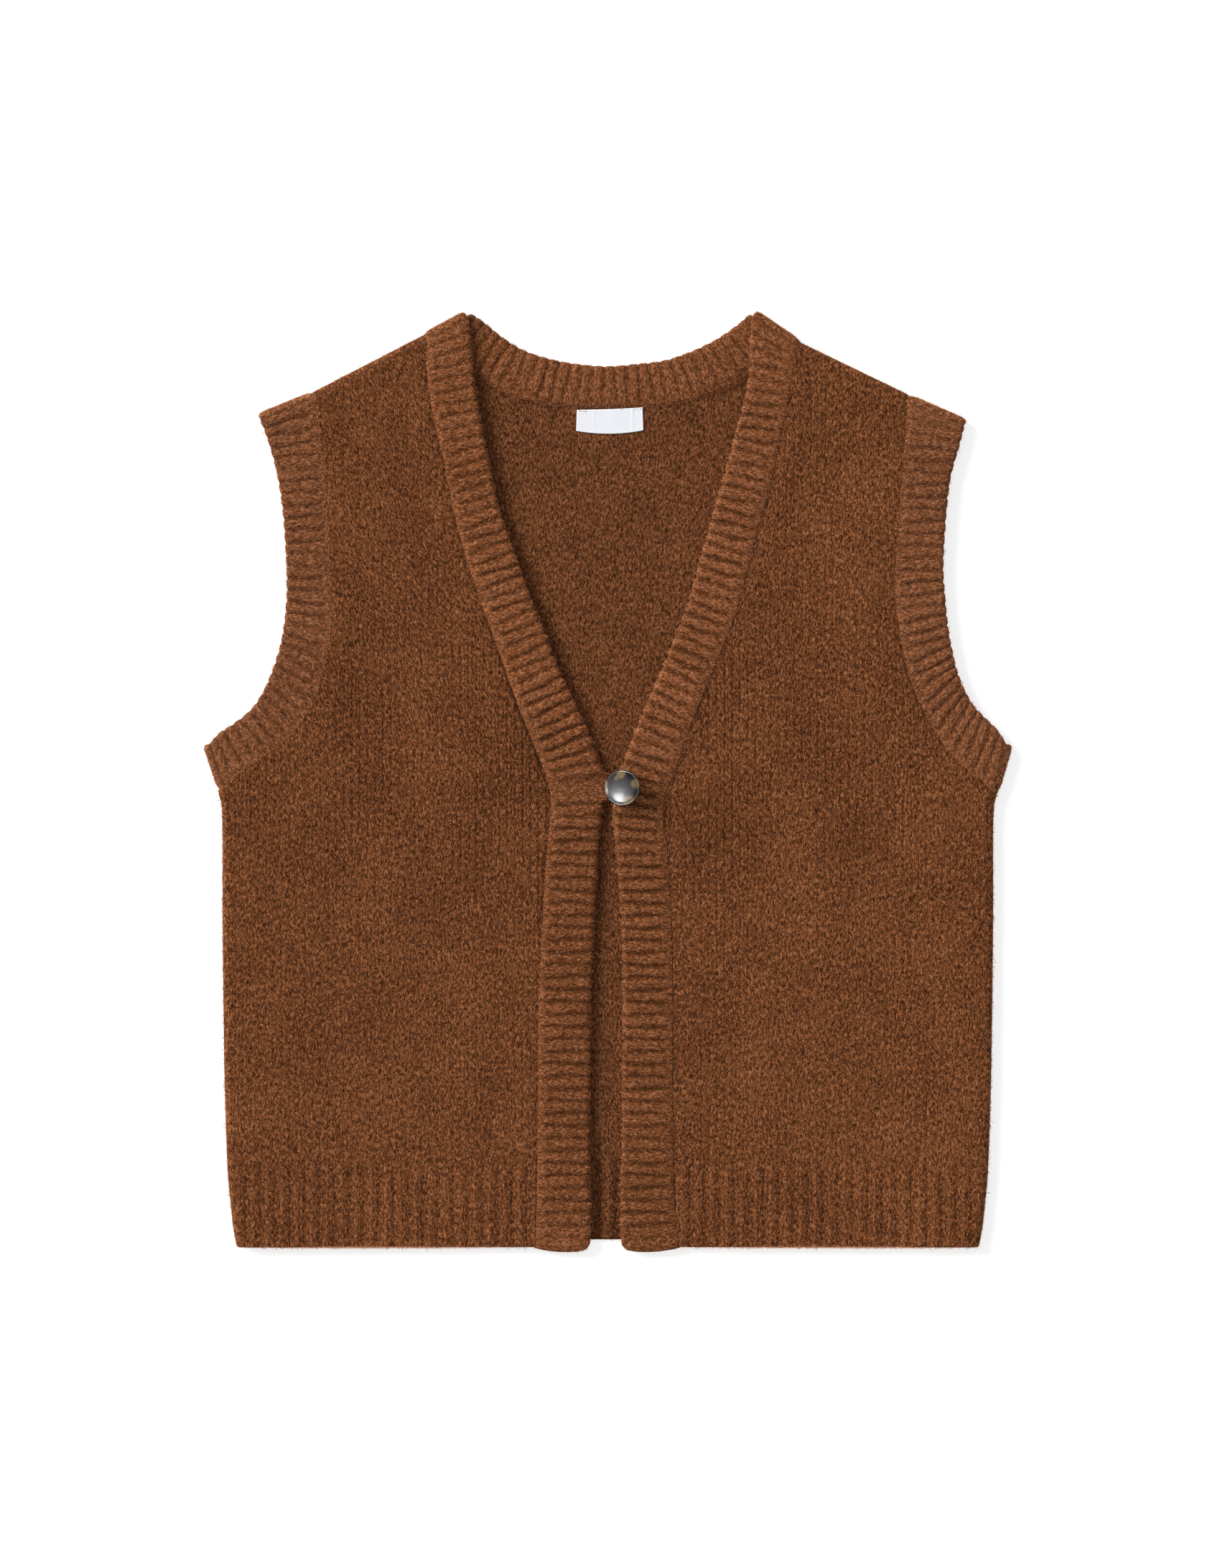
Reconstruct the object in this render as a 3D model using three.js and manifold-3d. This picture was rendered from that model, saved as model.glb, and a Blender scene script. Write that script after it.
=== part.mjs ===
import * as THREE from "three";
import { mergeVertices } from "three/addons/utils/BufferGeometryUtils.js";
import Module from "manifold-3d";

// A knitted sweater vest laid flat with its front up and its one button done up.
// Millimetres: +X to the viewer's right, +Y from the hem to the neck, +Z up, table at z = 0.

// Cloth
const knitWall = 3;
const seamGap = 0.5;
const layerGap = 0.4;
const foldHeight = 9.2;
const foldAxisZ = foldHeight / 2;
const foldRadius = foldAxisZ - knitWall / 2;
const seamStopAngle = THREE.MathUtils.degToRad(86);
const foldAngles = [0, seamStopAngle / 3, (2 * seamStopAngle) / 3, seamStopAngle];

// Hem
const frontHemY = -323.5;
const backHemY = -318.5;
const hemHeight = 61;
const hemRibPitch = 10.3;
const hemRibRise = 0.9;
const insideGrooveDepth = 0.7;
const hemEdgeRound = 1.3;

// Room left under the armhole bands where they fold at the underarms
const underarmDrop = 3;

// Rib bands
const neckBandWall = 4.8;
const neckRibPitch = 8.6;
const neckRibRise = 0.8;
const armholeWall = 4;
const armholeRibPitch = 8.5;
const armholeRibRise = 0.7;
const ribScallop = 0.4;

// Button closure
const buttonRadius = 12.4;
const buttonX = 10.4;
const buttonY = -3.2;
const buttonBaseZ = 14.7;
const buttonTilt = THREE.MathUtils.degToRad(-12);
const threadRadius = 1.3;
const threadBottomZ = 6.5;
const tabReach = 17.5;
const tabHalfHeight = 8;
const tabThinning = 2.4;

// Neck label
const labelWall = 0.8;

const brown = 0x6a3f26;
const ribBrown = 0x704429;

const up = new THREE.Vector3(0, 0, 1);

// Half the body width at heights up the side, out to the outer skin of the side fold.
const sideProfile = [
  { y: -325, half: 258 },
  { y: -310, half: 260.8 },
  { y: -290, half: 263 },
  { y: -265, half: 265 },
  { y: -200, half: 267 },
  { y: -100, half: 268.3 },
  { y: -25, half: 268.5 },
  { y: -8, half: 271 },
  { y: 0, half: 272 },
];

// Armhole bands, from the underarm fold to the fold at the shoulder tip: where the band
// is sewn on and where its free edge lies.
const armholeLeft = [
  { seamX: -266.5, seamY: -4, edgeX: -277, edgeY: 27 },
  { seamX: -256.5, seamY: 6.5, edgeX: -270, edgeY: 34.5 },
  { seamX: -242.5, seamY: 16.5, edgeX: -260, edgeY: 41 },
  { seamX: -229.5, seamY: 26, edgeX: -249.5, edgeY: 49.5 },
  { seamX: -217.5, seamY: 37.5, edgeX: -241.5, edgeY: 60 },
  { seamX: -207.5, seamY: 52, edgeX: -235, edgeY: 73.5 },
  { seamX: -201, seamY: 68.5, edgeX: -230.5, edgeY: 86 },
  { seamX: -196, seamY: 88, edgeX: -226.5, edgeY: 101 },
  { seamX: -193, seamY: 114, edgeX: -224, edgeY: 120 },
  { seamX: -193.5, seamY: 142, edgeX: -223.3, edgeY: 143 },
  { seamX: -195.5, seamY: 185, edgeX: -225.5, edgeY: 183 },
  { seamX: -197.5, seamY: 214, edgeX: -229.5, edgeY: 212 },
  { seamX: -200.5, seamY: 242, edgeX: -236, edgeY: 237 },
  { seamX: -203, seamY: 268, edgeX: -238, edgeY: 253.5 },
];
const armholeRight = [
  { seamX: 267.5, seamY: -5.5, edgeX: 277, edgeY: 27 },
  { seamX: 259.5, seamY: 2, edgeX: 271, edgeY: 36.5 },
  { seamX: 249.5, seamY: 9.5, edgeX: 263.5, edgeY: 44 },
  { seamX: 239.5, seamY: 19, edgeX: 256.5, edgeY: 51 },
  { seamX: 232, seamY: 28.5, edgeX: 251.5, edgeY: 58 },
  { seamX: 224.5, seamY: 41, edgeX: 247, edgeY: 67 },
  { seamX: 215.5, seamY: 59, edgeX: 242.5, edgeY: 79 },
  { seamX: 209, seamY: 77.5, edgeX: 239.5, edgeY: 92 },
  { seamX: 204.5, seamY: 95.5, edgeX: 237, edgeY: 105 },
  { seamX: 200.5, seamY: 122.5, edgeX: 234.7, edgeY: 127 },
  { seamX: 200, seamY: 148.5, edgeX: 233.3, edgeY: 150 },
  { seamX: 202.5, seamY: 185, edgeX: 235.2, edgeY: 185 },
  { seamX: 204.5, seamY: 212.5, edgeX: 238.3, edgeY: 212 },
  { seamX: 206.5, seamY: 240, edgeX: 243, edgeY: 236 },
  { seamX: 207, seamY: 266, edgeX: 244.5, edgeY: 249.5 },
];

// Neck and front band: sewn edge, free edge, height of its underside at the sewn edge,
// and how much higher the underside is at the free edge.
const leftLeg = [
  { seamX: -50.5, seamY: -325, edgeX: -12.5, edgeY: -327.3, low: 3.4, lift: 0 },
  { seamX: -49.3, seamY: -300, edgeX: -11.8, edgeY: -300, low: 3.4, lift: 0 },
  { seamX: -48.3, seamY: -235, edgeX: -12.8, edgeY: -235, low: 3.4, lift: 0 },
  { seamX: -47.8, seamY: -155, edgeX: -11.8, edgeY: -155, low: 3.4, lift: 0 },
  { seamX: -46, seamY: -112, edgeX: -10.5, edgeY: -112, low: 3.4, lift: 0 },
  { seamX: -43.5, seamY: -68, edgeX: -8.3, edgeY: -70, low: 3.4, lift: 0 },
  { seamX: -41, seamY: -38, edgeX: -6.3, edgeY: -38, low: 3.4, lift: 0 },
  { seamX: -39.3, seamY: -14, edgeX: -3.2, edgeY: -12, low: 3.4, lift: 0 },
  { seamX: -41.3, seamY: 0, edgeX: -2.6, edgeY: 4, low: 3.4, lift: 0 },
  { seamX: -46, seamY: 14, edgeX: -10, edgeY: 26, low: 3.4, lift: 0 },
  { seamX: -55.5, seamY: 37.5, edgeX: -22, edgeY: 53.5, low: 3.4, lift: 0 },
  { seamX: -67.5, seamY: 68.5, edgeX: -35.5, edgeY: 82.5, low: 3.4, lift: 0 },
  { seamX: -79, seamY: 101.5, edgeX: -47.5, edgeY: 113.5, low: 3.4, lift: 0 },
  { seamX: -88.5, seamY: 127.5, edgeX: -57.5, edgeY: 138.5, low: 3.4, lift: 0 },
  { seamX: -97.6, seamY: 154, edgeX: -66.5, edgeY: 164, low: 3.4, lift: 0 },
  { seamX: -106.5, seamY: 187, edgeX: -77, edgeY: 196, low: 3.6, lift: 0 },
  { seamX: -113, seamY: 220, edgeX: -83.7, edgeY: 228, low: 4.2, lift: 0.2 },
  { seamX: -119, seamY: 245, edgeX: -88.5, edgeY: 251, low: 5, lift: 0.5 },
  { seamX: -123.5, seamY: 269, edgeX: -92.2, edgeY: 274.5, low: 5.8, lift: 0.4 },
  { seamX: -126.3, seamY: 291, edgeX: -95, edgeY: 300, low: 6, lift: 0 },
  { seamX: -125.7, seamY: 307.8, edgeX: -97.5, edgeY: 323, low: 6, lift: 0 },
];
const backNeck = [
  { seamX: -125.7, seamY: 307.8, edgeX: -97.5, edgeY: 323, low: 0, lift: 0 },
  { seamX: -109, seamY: 296, edgeX: -86, edgeY: 320.5, low: 0, lift: 0 },
  { seamX: -90, seamY: 282.5, edgeX: -72.5, edgeY: 309.5, low: 0, lift: 0 },
  { seamX: -70, seamY: 271.5, edgeX: -57, edgeY: 300.5, low: 0, lift: 0 },
  { seamX: -45, seamY: 264.5, edgeX: -37, edgeY: 294.3, low: 0, lift: 0 },
  { seamX: -20, seamY: 262.3, edgeX: -16, edgeY: 291, low: 0, lift: 0 },
  { seamX: 1, seamY: 262, edgeX: 1, edgeY: 290, low: 0, lift: 0 },
  { seamX: 22, seamY: 262.3, edgeX: 19, edgeY: 291.5, low: 0, lift: 0 },
  { seamX: 47, seamY: 264.5, edgeX: 39, edgeY: 294, low: 0, lift: 0 },
  { seamX: 72, seamY: 271, edgeX: 59, edgeY: 300.7, low: 0, lift: 0 },
  { seamX: 93, seamY: 280.5, edgeX: 75, edgeY: 308.5, low: 0, lift: 0 },
  { seamX: 113, seamY: 292, edgeX: 89, edgeY: 319, low: 0, lift: 0 },
  { seamX: 131.5, seamY: 302.8, edgeX: 100.5, edgeY: 322.8, low: 0, lift: 0 },
];
const rightLeg = [
  { seamX: 131.5, seamY: 302.8, edgeX: 100.5, edgeY: 322.8, low: 6, lift: 0 },
  { seamX: 129, seamY: 287, edgeX: 98.8, edgeY: 297, low: 6, lift: 0 },
  { seamX: 126, seamY: 269, edgeX: 96.8, edgeY: 273, low: 5.8, lift: 0.4 },
  { seamX: 121, seamY: 245, edgeX: 91, edgeY: 249.5, low: 5, lift: 0.5 },
  { seamX: 114, seamY: 212, edgeX: 82.5, edgeY: 219, low: 4.2, lift: 0.2 },
  { seamX: 105, seamY: 178, edgeX: 73.3, edgeY: 186, low: 3.6, lift: 0 },
  { seamX: 95.5, seamY: 141, edgeX: 63.5, edgeY: 151.5, low: 3.4, lift: 0 },
  { seamX: 86.5, seamY: 111, edgeX: 55, edgeY: 122, low: 3.4, lift: 0 },
  { seamX: 73, seamY: 78, edgeX: 43, edgeY: 91, low: 3.4, lift: 0 },
  { seamX: 57, seamY: 38.5, edgeX: 26.5, edgeY: 52.5, low: 3.4, lift: 0.6 },
  { seamX: 46, seamY: 5.5, edgeX: 12, edgeY: 17, low: 3.6, lift: 2.8 },
  { seamX: 39.5, seamY: -9, edgeX: 6, edgeY: -2, low: 3.6, lift: 3.7 },
  { seamX: 38.5, seamY: -28, edgeX: 4, edgeY: -23, low: 3.6, lift: 2.8 },
  { seamX: 41.3, seamY: -48, edgeX: 6, edgeY: -47, low: 3.4, lift: 1.2 },
  { seamX: 43.5, seamY: -88, edgeX: 9.5, edgeY: -88, low: 3.4, lift: 0 },
  { seamX: 44.8, seamY: -125, edgeX: 10.6, edgeY: -125, low: 3.4, lift: 0 },
  { seamX: 45.2, seamY: -235, edgeX: 10.3, edgeY: -235, low: 3.4, lift: 0 },
  { seamX: 46.5, seamY: -290, edgeX: 9, edgeY: -290, low: 3.4, lift: 0 },
  { seamX: 49.5, seamY: -324, edgeX: 9.5, edgeY: -327.3, low: 3.4, lift: 0 },
];

// Soft folds raised in the two fronts: middle, direction of the ridge, half length,
// half width and height.
const softFolds = [
  { x: -205, y: -18, turn: 35, halfLength: 55, halfWidth: 15, rise: 1.6 },
  { x: -150, y: -70, turn: 78, halfLength: 80, halfWidth: 22, rise: 1.2 },
  { x: -78, y: 12, turn: -12, halfLength: 34, halfWidth: 11, rise: 1.2 },
  { x: -150, y: 190, turn: 62, halfLength: 60, halfWidth: 16, rise: 1 },
  { x: -96, y: -190, turn: 84, halfLength: 75, halfWidth: 18, rise: 1 },
  { x: 210, y: -24, turn: -38, halfLength: 50, halfWidth: 15, rise: 1.5 },
  { x: 150, y: -96, turn: -80, halfLength: 85, halfWidth: 22, rise: 1.2 },
  { x: 80, y: 4, turn: 14, halfLength: 34, halfWidth: 11, rise: 1.3 },
  { x: 152, y: 176, turn: -58, halfLength: 55, halfWidth: 16, rise: 1 },
  { x: 110, y: -215, turn: -86, halfLength: 70, halfWidth: 18, rise: 0.9 },
];

// Values of a table at a place between its rows, on a smooth curve through them.
function between(table, place) {
  const row = Math.min(Math.floor(place), table.length - 2);
  const part = place - row;
  const near = [row - 1, row, row + 1, row + 2].map(
    (index) => table[THREE.MathUtils.clamp(index, 0, table.length - 1)],
  );
  const result = {};
  for (const key of Object.keys(table[0])) {
    const [a, b, c, d] = near.map((entry) => entry[key]);
    const bend = 2 * a - 5 * b + 4 * c - d + (3 * (b - c) + d - a) * part;
    result[key] = b + 0.5 * part * (c - a + part * bend);
  }
  return result;
}

// The place in a table where one rising or falling column passes a value.
function placeOf(table, key, value) {
  const rising = table[table.length - 1][key] > table[0][key];
  let first = 0;
  let last = table.length - 1;
  for (let step = 0; step < 40; step += 1) {
    const middle = (first + last) / 2;
    const before = between(table, middle)[key] < value === rising;
    first = before ? middle : first;
    last = before ? last : middle;
  }
  return (first + last) / 2;
}

// The edge of a panel where a band is sewn to it, moved off the band by a gap.
function besideBand(section, gap = seamGap) {
  const across = new THREE.Vector2(section.edgeX - section.seamX, section.edgeY - section.seamY);
  across.normalize();
  return new THREE.Vector2(section.seamX, section.seamY).addScaledVector(across, -gap);
}

// The way out over a fold, square to the band that folds there and lying in the table's plane.
function foldOutward(section) {
  const across = new THREE.Vector2(section.edgeX - section.seamX, section.edgeY - section.seamY);
  const outward = new THREE.Vector2(-across.y, across.x).normalize();
  const fromMiddle = new THREE.Vector2(section.seamX, section.seamY);
  return outward.dot(fromMiddle) < 0 ? outward.negate() : outward;
}

// 1 at a distance of 0, falling smoothly to 0 at the reach.
function fallOff(distance, reach) {
  const part = THREE.MathUtils.clamp(distance / reach, 0, 1);
  return (1 + Math.cos(Math.PI * part)) / 2;
}

function softFoldHeight(x, y) {
  let height = 0;
  for (const fold of softFolds) {
    const turn = THREE.MathUtils.degToRad(fold.turn);
    const along = (x - fold.x) * Math.cos(turn) + (y - fold.y) * Math.sin(turn);
    const across = (y - fold.y) * Math.cos(turn) - (x - fold.x) * Math.sin(turn);
    height += fold.rise * Math.exp(-((along / fold.halfLength) ** 2) - (across / fold.halfWidth) ** 2);
  }
  return height;
}

// A closed solid through rows of points. Each row has a list of points on the cloth's
// outer face and one on its inner face, both in order across the cloth, and each point
// has its share of the way across.
function solidThrough(rows, closed = false) {
  const positions = [];
  const faces = [];
  const addPoints = (list) =>
    list.map(({ share, point }) => {
      positions.push(point.x, point.y, point.z);
      return { share, index: positions.length / 3 - 1 };
    });
  const placed = rows.map((row) => ({ outer: addPoints(row.outer), inner: addPoints(row.inner) }));
  const stitch = (first, second, turned) => {
    let a = 0;
    let b = 0;
    while (a < first.length - 1 || b < second.length - 1) {
      const onFirst =
        b === second.length - 1 ||
        (a < first.length - 1 && first[a + 1].share <= second[b + 1].share);
      const face = onFirst
        ? [first[a].index, first[a + 1].index, second[b].index]
        : [first[a].index, second[b + 1].index, second[b].index];
      faces.push(...(turned ? face.reverse() : face));
      a += onFirst ? 1 : 0;
      b += onFirst ? 0 : 1;
    }
  };
  const joins = closed ? placed.length : placed.length - 1;
  for (let row = 0; row < joins; row += 1) {
    const here = placed[row];
    const next = placed[(row + 1) % placed.length];
    stitch(here.outer, next.outer, false);
    stitch(here.inner, next.inner, true);
    const edges = (one) => [one.outer[0], one.inner[0]];
    const farEdges = (one) => [one.outer[one.outer.length - 1], one.inner[one.inner.length - 1]];
    stitch(edges(here), edges(next), true);
    stitch(farEdges(here), farEdges(next), false);
  }
  if (!closed) {
    const start = placed[0];
    const end = placed[placed.length - 1];
    stitch(start.inner, start.outer, false);
    stitch(end.inner, end.outer, true);
  }
  const geometry = new THREE.BufferGeometry();
  geometry.setAttribute("position", new THREE.Float32BufferAttribute(positions, 3));
  geometry.setIndex(faces);
  return facingOut(geometry);
}

// Turns every face over if the volume that they enclose comes out negative.
function facingOut(geometry) {
  const position = geometry.getAttribute("position");
  const index = geometry.getIndex();
  const corner = (at) => new THREE.Vector3().fromBufferAttribute(position, index.getX(at));
  let volume = 0;
  for (let face = 0; face < index.count; face += 3) {
    volume += corner(face).dot(corner(face + 1).cross(corner(face + 2)));
  }
  if (volume < 0) {
    const list = Array.from(index.array);
    list.reverse();
    geometry.setIndex(list);
  }
  geometry.computeVertexNormals();
  return geometry;
}

// One point of cloth: its middle, the way its outer face looks, its wall and any rib.
function facePoint(cloth, side, rise = 0) {
  const reach = side * (cloth.wall / 2) + (side > 0 ? rise : 0);
  return cloth.middle.clone().addScaledVector(cloth.normal, reach);
}

// Shares across a hem row at which its ribs rise, for a row that spans two X values.
function hemRibShares(fromX, toX) {
  const shares = [];
  const low = Math.min(fromX, toX);
  const high = Math.max(fromX, toX);
  const firstRib = Math.ceil(low / hemRibPitch) + 1;
  const lastRib = Math.floor(high / hemRibPitch) - 1;
  for (let rib = firstRib; rib <= lastRib; rib += 1) {
    for (const step of [{ at: -0.5, rise: 0 }, { at: -0.2, rise: 1 }, { at: 0.2, rise: 1 }]) {
      const x = (rib + step.at) * hemRibPitch;
      shares.push({ share: (x - fromX) / (toX - fromX), rise: step.rise });
    }
  }
  return shares.sort((one, other) => one.share - other.share);
}

function plainShares(count) {
  return Array.from({ length: count + 1 }, (_, index) => ({ share: index / count, rise: 0 }));
}

// A row's outer edge on one side. Height 0 to 1 runs up the side fold from the hem to the
// underarm, and 1 to 2 up the armhole seam to the shoulder tip.
function outerEdge(side, hemY, height) {
  const armhole = side < 0 ? armholeLeft : armholeRight;
  if (height <= 1) {
    const underarmY = armhole[0].seamY - underarmDrop;
    const y = THREE.MathUtils.lerp(hemY, underarmY, height);
    const half = between(sideProfile, placeOf(sideProfile, "y", y)).half;
    return { point: new THREE.Vector2(side * (half - foldAxisZ), y), folded: true };
  }
  const firstY = between(armhole, 0.15).seamY;
  const y = THREE.MathUtils.lerp(firstY, armhole.at(-1).seamY, (height - 1) ** 1.3);
  const section = between(armhole, placeOf(armhole, "seamY", y));
  return { point: besideBand(section), folded: false };
}

// Cloth points round a side fold, from the seam at its outermost line to the flat cloth.
function sideFoldCloth(start, side, facing, wall) {
  return foldAngles
    .slice(1)
    .reverse()
    .map((angle) => ({
      share: -0.02 * angle,
      middle: new THREE.Vector3(
        start.x + side * foldRadius * Math.sin(angle),
        start.y,
        foldAxisZ + facing * foldRadius * Math.cos(angle),
      ),
      normal: new THREE.Vector3(side * Math.sin(angle), 0, facing * Math.cos(angle)),
      wall,
    }));
}

// Row heights shared by the panels: two at the hem's rounded edge, the ribs, the body up
// to the underarm, then the armhole.
function rowHeights(hemY, side) {
  const armhole = side < 0 ? armholeLeft : armholeRight;
  const sideLength = armhole[0].seamY - underarmDrop - hemY;
  const heights = [0, hemEdgeRound, 30, hemHeight - 4, hemHeight].map((y) => y / sideLength);
  const bodyRows = 12;
  for (let row = 1; row <= bodyRows; row += 1) {
    heights.push(THREE.MathUtils.lerp(hemHeight / sideLength, 1, row / bodyRows));
  }
  const armholeRows = 20;
  const justPastUnderarm = 1e-6;
  for (let row = 0; row <= armholeRows; row += 1) {
    heights.push(1 + Math.max(row / armholeRows, justPastUnderarm));
  }
  return heights;
}

// How thick the hem's edge is and how far its ribs stand at each of the first rows.
const hemRows = [
  { wall: 1.4, rib: 0.4 },
  { wall: knitWall, rib: 0.9 },
  { wall: knitWall, rib: 1 },
  { wall: knitWall, rib: 1 },
  { wall: knitWall, rib: 0 },
];

// One front: side fold, armhole seam, shoulder fold and band seam, with its ribbed hem.
function frontPanel(side) {
  const armhole = side < 0 ? armholeLeft : armholeRight;
  const leg = side < 0 ? leftLeg : rightLeg;
  const shoulderEnd = side < 0 ? leg[leg.length - 1] : leg[0];
  const tipY = armhole[armhole.length - 1].seamY;
  const neckY = shoulderEnd.seamY;
  const restZ = knitWall + layerGap + knitWall / 2;
  const foldZ = foldAxisZ + foldRadius;
  const rows = [];

  const clothAt = (outer, inner, seamZ, share, wall) => {
    const spot = outer.clone().lerp(inner, share);
    const width = outer.distanceTo(inner);
    const shoulderY = THREE.MathUtils.mapLinear(spot.x, armhole.at(-1).seamX, shoulderEnd.seamX, tipY, neckY);
    const rise = Math.max(
      (foldZ - restZ) * fallOff(share * width, 34),
      (seamZ - restZ) * fallOff((1 - share) * width, 22),
      (foldZ - restZ) * fallOff(shoulderY - spot.y, 34),
    );
    const awayFromEdges = Math.min(share, 1 - share, 0.12) / 0.12;
    const z = restZ + rise + softFoldHeight(spot.x, spot.y) * awayFromEdges;
    return { middle: new THREE.Vector3(spot.x, spot.y, z), normal: up.clone(), wall };
  };

  rowHeights(frontHemY, side).forEach((height, index) => {
    const outer = outerEdge(side, frontHemY, height);
    const stretch = fallOff(tipY - outer.point.y, tipY - 80);
    const innerY = Math.min(outer.point.y + (neckY - tipY) * stretch, neckY);
    const section = between(leg, placeOf(leg, "seamY", Math.max(innerY, frontHemY)));
    const inner = besideBand(section);
    const seamZ = Math.max(section.low + neckBandWall / 2 - 0.3, restZ);
    const hem = hemRows[index] ?? { wall: knitWall, rib: 0 };
    const outerShares = hem.rib > 0 ? hemRibShares(outer.point.x, inner.x) : [];
    const shares = [{ share: 0, rise: 0 }, ...outerShares, { share: 1, rise: 0 }];
    const fold = outer.folded ? sideFoldCloth(outer.point, side, 1, hem.wall) : [];
    const flatOuter = (hem.rib > 0 ? shares : plainShares(10)).map((entry) => ({
      share: entry.share,
      point: facePoint(
        clothAt(outer.point, inner, seamZ, entry.share, hem.wall),
        1,
        entry.rise * hem.rib * hemRibRise,
      ),
    }));
    const flatInner = plainShares(6).map((entry) => ({
      share: entry.share,
      point: facePoint(clothAt(outer.point, inner, seamZ, entry.share, hem.wall), -1),
    }));
    const folded = (face) => fold.map((cloth) => ({ share: cloth.share, point: facePoint(cloth, face) }));
    rows.push({ outer: [...folded(1), ...flatOuter], inner: [...folded(-1), ...flatInner] });
  });

  const tip = besideBand(armhole.at(-1));
  const neck = besideBand(shoulderEnd);
  const tipOutward = foldOutward(armhole.at(-1));
  const neckOutward = foldOutward(shoulderEnd);
  for (const angle of foldAngles.slice(1)) {
    const over = (face) =>
      plainShares(8).map(({ share }) => {
        const outward = tipOutward.clone().lerp(neckOutward, share).normalize();
        const spot = tip.clone().lerp(neck, share).addScaledVector(outward, foldRadius * Math.sin(angle));
        const cloth = {
          middle: new THREE.Vector3(spot.x, spot.y, foldAxisZ + foldRadius * Math.cos(angle)),
          normal: new THREE.Vector3(
            outward.x * Math.sin(angle),
            outward.y * Math.sin(angle),
            Math.cos(angle),
          ),
          wall: knitWall,
        };
        return { share, point: facePoint(cloth, face) };
      });
    rows.push({ outer: over(1), inner: over(-1) });
  }
  return solidThrough(rows);
}

// The back's top line, from shoulder tip to shoulder tip: along each shoulder fold and
// round the back neck seam. Folded points turn up over the shoulder.
function backTopLine() {
  const shoulder = (armhole, section, shares) => {
    const tip = besideBand(armhole.at(-1));
    const neck = besideBand(section, 3.4);
    const tipOutward = foldOutward(armhole.at(-1));
    const neckOutward = foldOutward(section);
    return shares.map((share) => ({
      spot: tip.clone().lerp(neck, share),
      outward: tipOutward.clone().lerp(neckOutward, share).normalize(),
      folded: 1,
    }));
  };
  const neck = [];
  const neckSteps = 18;
  for (let step = 0; step <= neckSteps; step += 1) {
    const section = between(backNeck, (step / neckSteps) * (backNeck.length - 1));
    const spot = besideBand(section, seamGap + 0.6);
    const outward = new THREE.Vector2(section.edgeX, section.edgeY).sub(spot).normalize();
    neck.push({ spot, outward, folded: 0 });
  }
  const left = shoulder(armholeLeft, backNeck[0], [0, 0.5, 1]);
  const right = shoulder(armholeRight, backNeck.at(-1), [1, 0.5, 0]);
  return [...left, ...neck, ...right];
}

// The back: flat on the table, turned up at the side and shoulder folds, with its hem.
function backPanel() {
  const top = backTopLine();
  const firstX = top[0].spot.x;
  const lastX = top.at(-1).spot.x;
  const topShares = top.map(({ spot }) => ({ share: (spot.x - firstX) / (lastX - firstX), rise: 0 }));
  const topAt = (share) => {
    const index = Math.max(topShares.findIndex((entry) => entry.share >= share - 1e-9), 1);
    const part = (share - topShares[index - 1].share) / (topShares[index].share - topShares[index - 1].share);
    return THREE.MathUtils.lerp(top[index - 1].spot.y, top[index].spot.y, part);
  };
  const chordY = (share) => THREE.MathUtils.lerp(top[0].spot.y, top.at(-1).spot.y, share);
  const rows = [];
  const leftHeights = rowHeights(backHemY, -1);
  const rightHeights = rowHeights(backHemY, 1);

  leftHeights.forEach((height, index) => {
    const left = outerEdge(-1, backHemY, height);
    const right = outerEdge(1, backHemY, rightHeights[index]);
    const weight = THREE.MathUtils.clamp((left.point.y - 100) / (top[0].spot.y - 100), 0, 1) ** 2;
    const hem = hemRows[index] ?? { wall: knitWall, rib: 0 };
    const point = (share, face, rise) => {
      const spot = left.point.clone().lerp(right.point, share);
      const y = spot.y + weight * (topAt(share) - chordY(share));
      const z = face > 0 ? (knitWall - hem.wall) / 2 : (knitWall + hem.wall) / 2 - rise;
      return { share, point: new THREE.Vector3(spot.x, y, z) };
    };
    const ribShares = hem.rib > 0 ? hemRibShares(left.point.x, right.point.x) : [];
    const shares = hem.rib > 0 ? [{ share: 0, rise: 0 }, ...ribShares, { share: 1, rise: 0 }] : null;
    const plain = weight > 0.12 ? topShares : plainShares(5);
    const onInside = (shares ?? plain).map(({ share, rise }) =>
      point(share, -1, shares ? (1 - rise) * hem.rib * insideGrooveDepth : 0),
    );
    const onOutside = plain.map(({ share }) => point(share, 1, 0));
    const fold = (edge, side, face) =>
      edge.folded
        ? sideFoldCloth(edge.point, side, -1, hem.wall).map((cloth) => ({
            share: cloth.share,
            point: facePoint(cloth, face),
          }))
        : [];
    const mirrored = (list) => list.map((entry) => ({ ...entry, share: 1 - entry.share })).reverse();
    rows.push({
      outer: [...fold(left, -1, 1), ...onOutside, ...mirrored(fold(right, 1, 1))],
      inner: [...fold(left, -1, -1), ...onInside, ...mirrored(fold(right, 1, -1))],
    });
  });

  foldAngles.slice(1).forEach((angle, step) => {
    const over = (face) =>
      top.map(({ spot, outward, folded }, index) => {
        const reach = folded ? foldRadius * Math.sin(angle) : 0.18 * (step + 1);
        const turn = folded * angle;
        const cloth = {
          middle: new THREE.Vector3(
            spot.x + outward.x * reach,
            spot.y + outward.y * reach,
            foldAxisZ - foldRadius * Math.cos(turn),
          ),
          normal: new THREE.Vector3(outward.x * Math.sin(turn), outward.y * Math.sin(turn), -Math.cos(turn)),
          wall: knitWall,
        };
        return { share: topShares[index].share, point: facePoint(cloth, face) };
      });
    rows.push({ outer: over(1), inner: over(-1) });
  });
  return solidThrough(rows);
}

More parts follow.
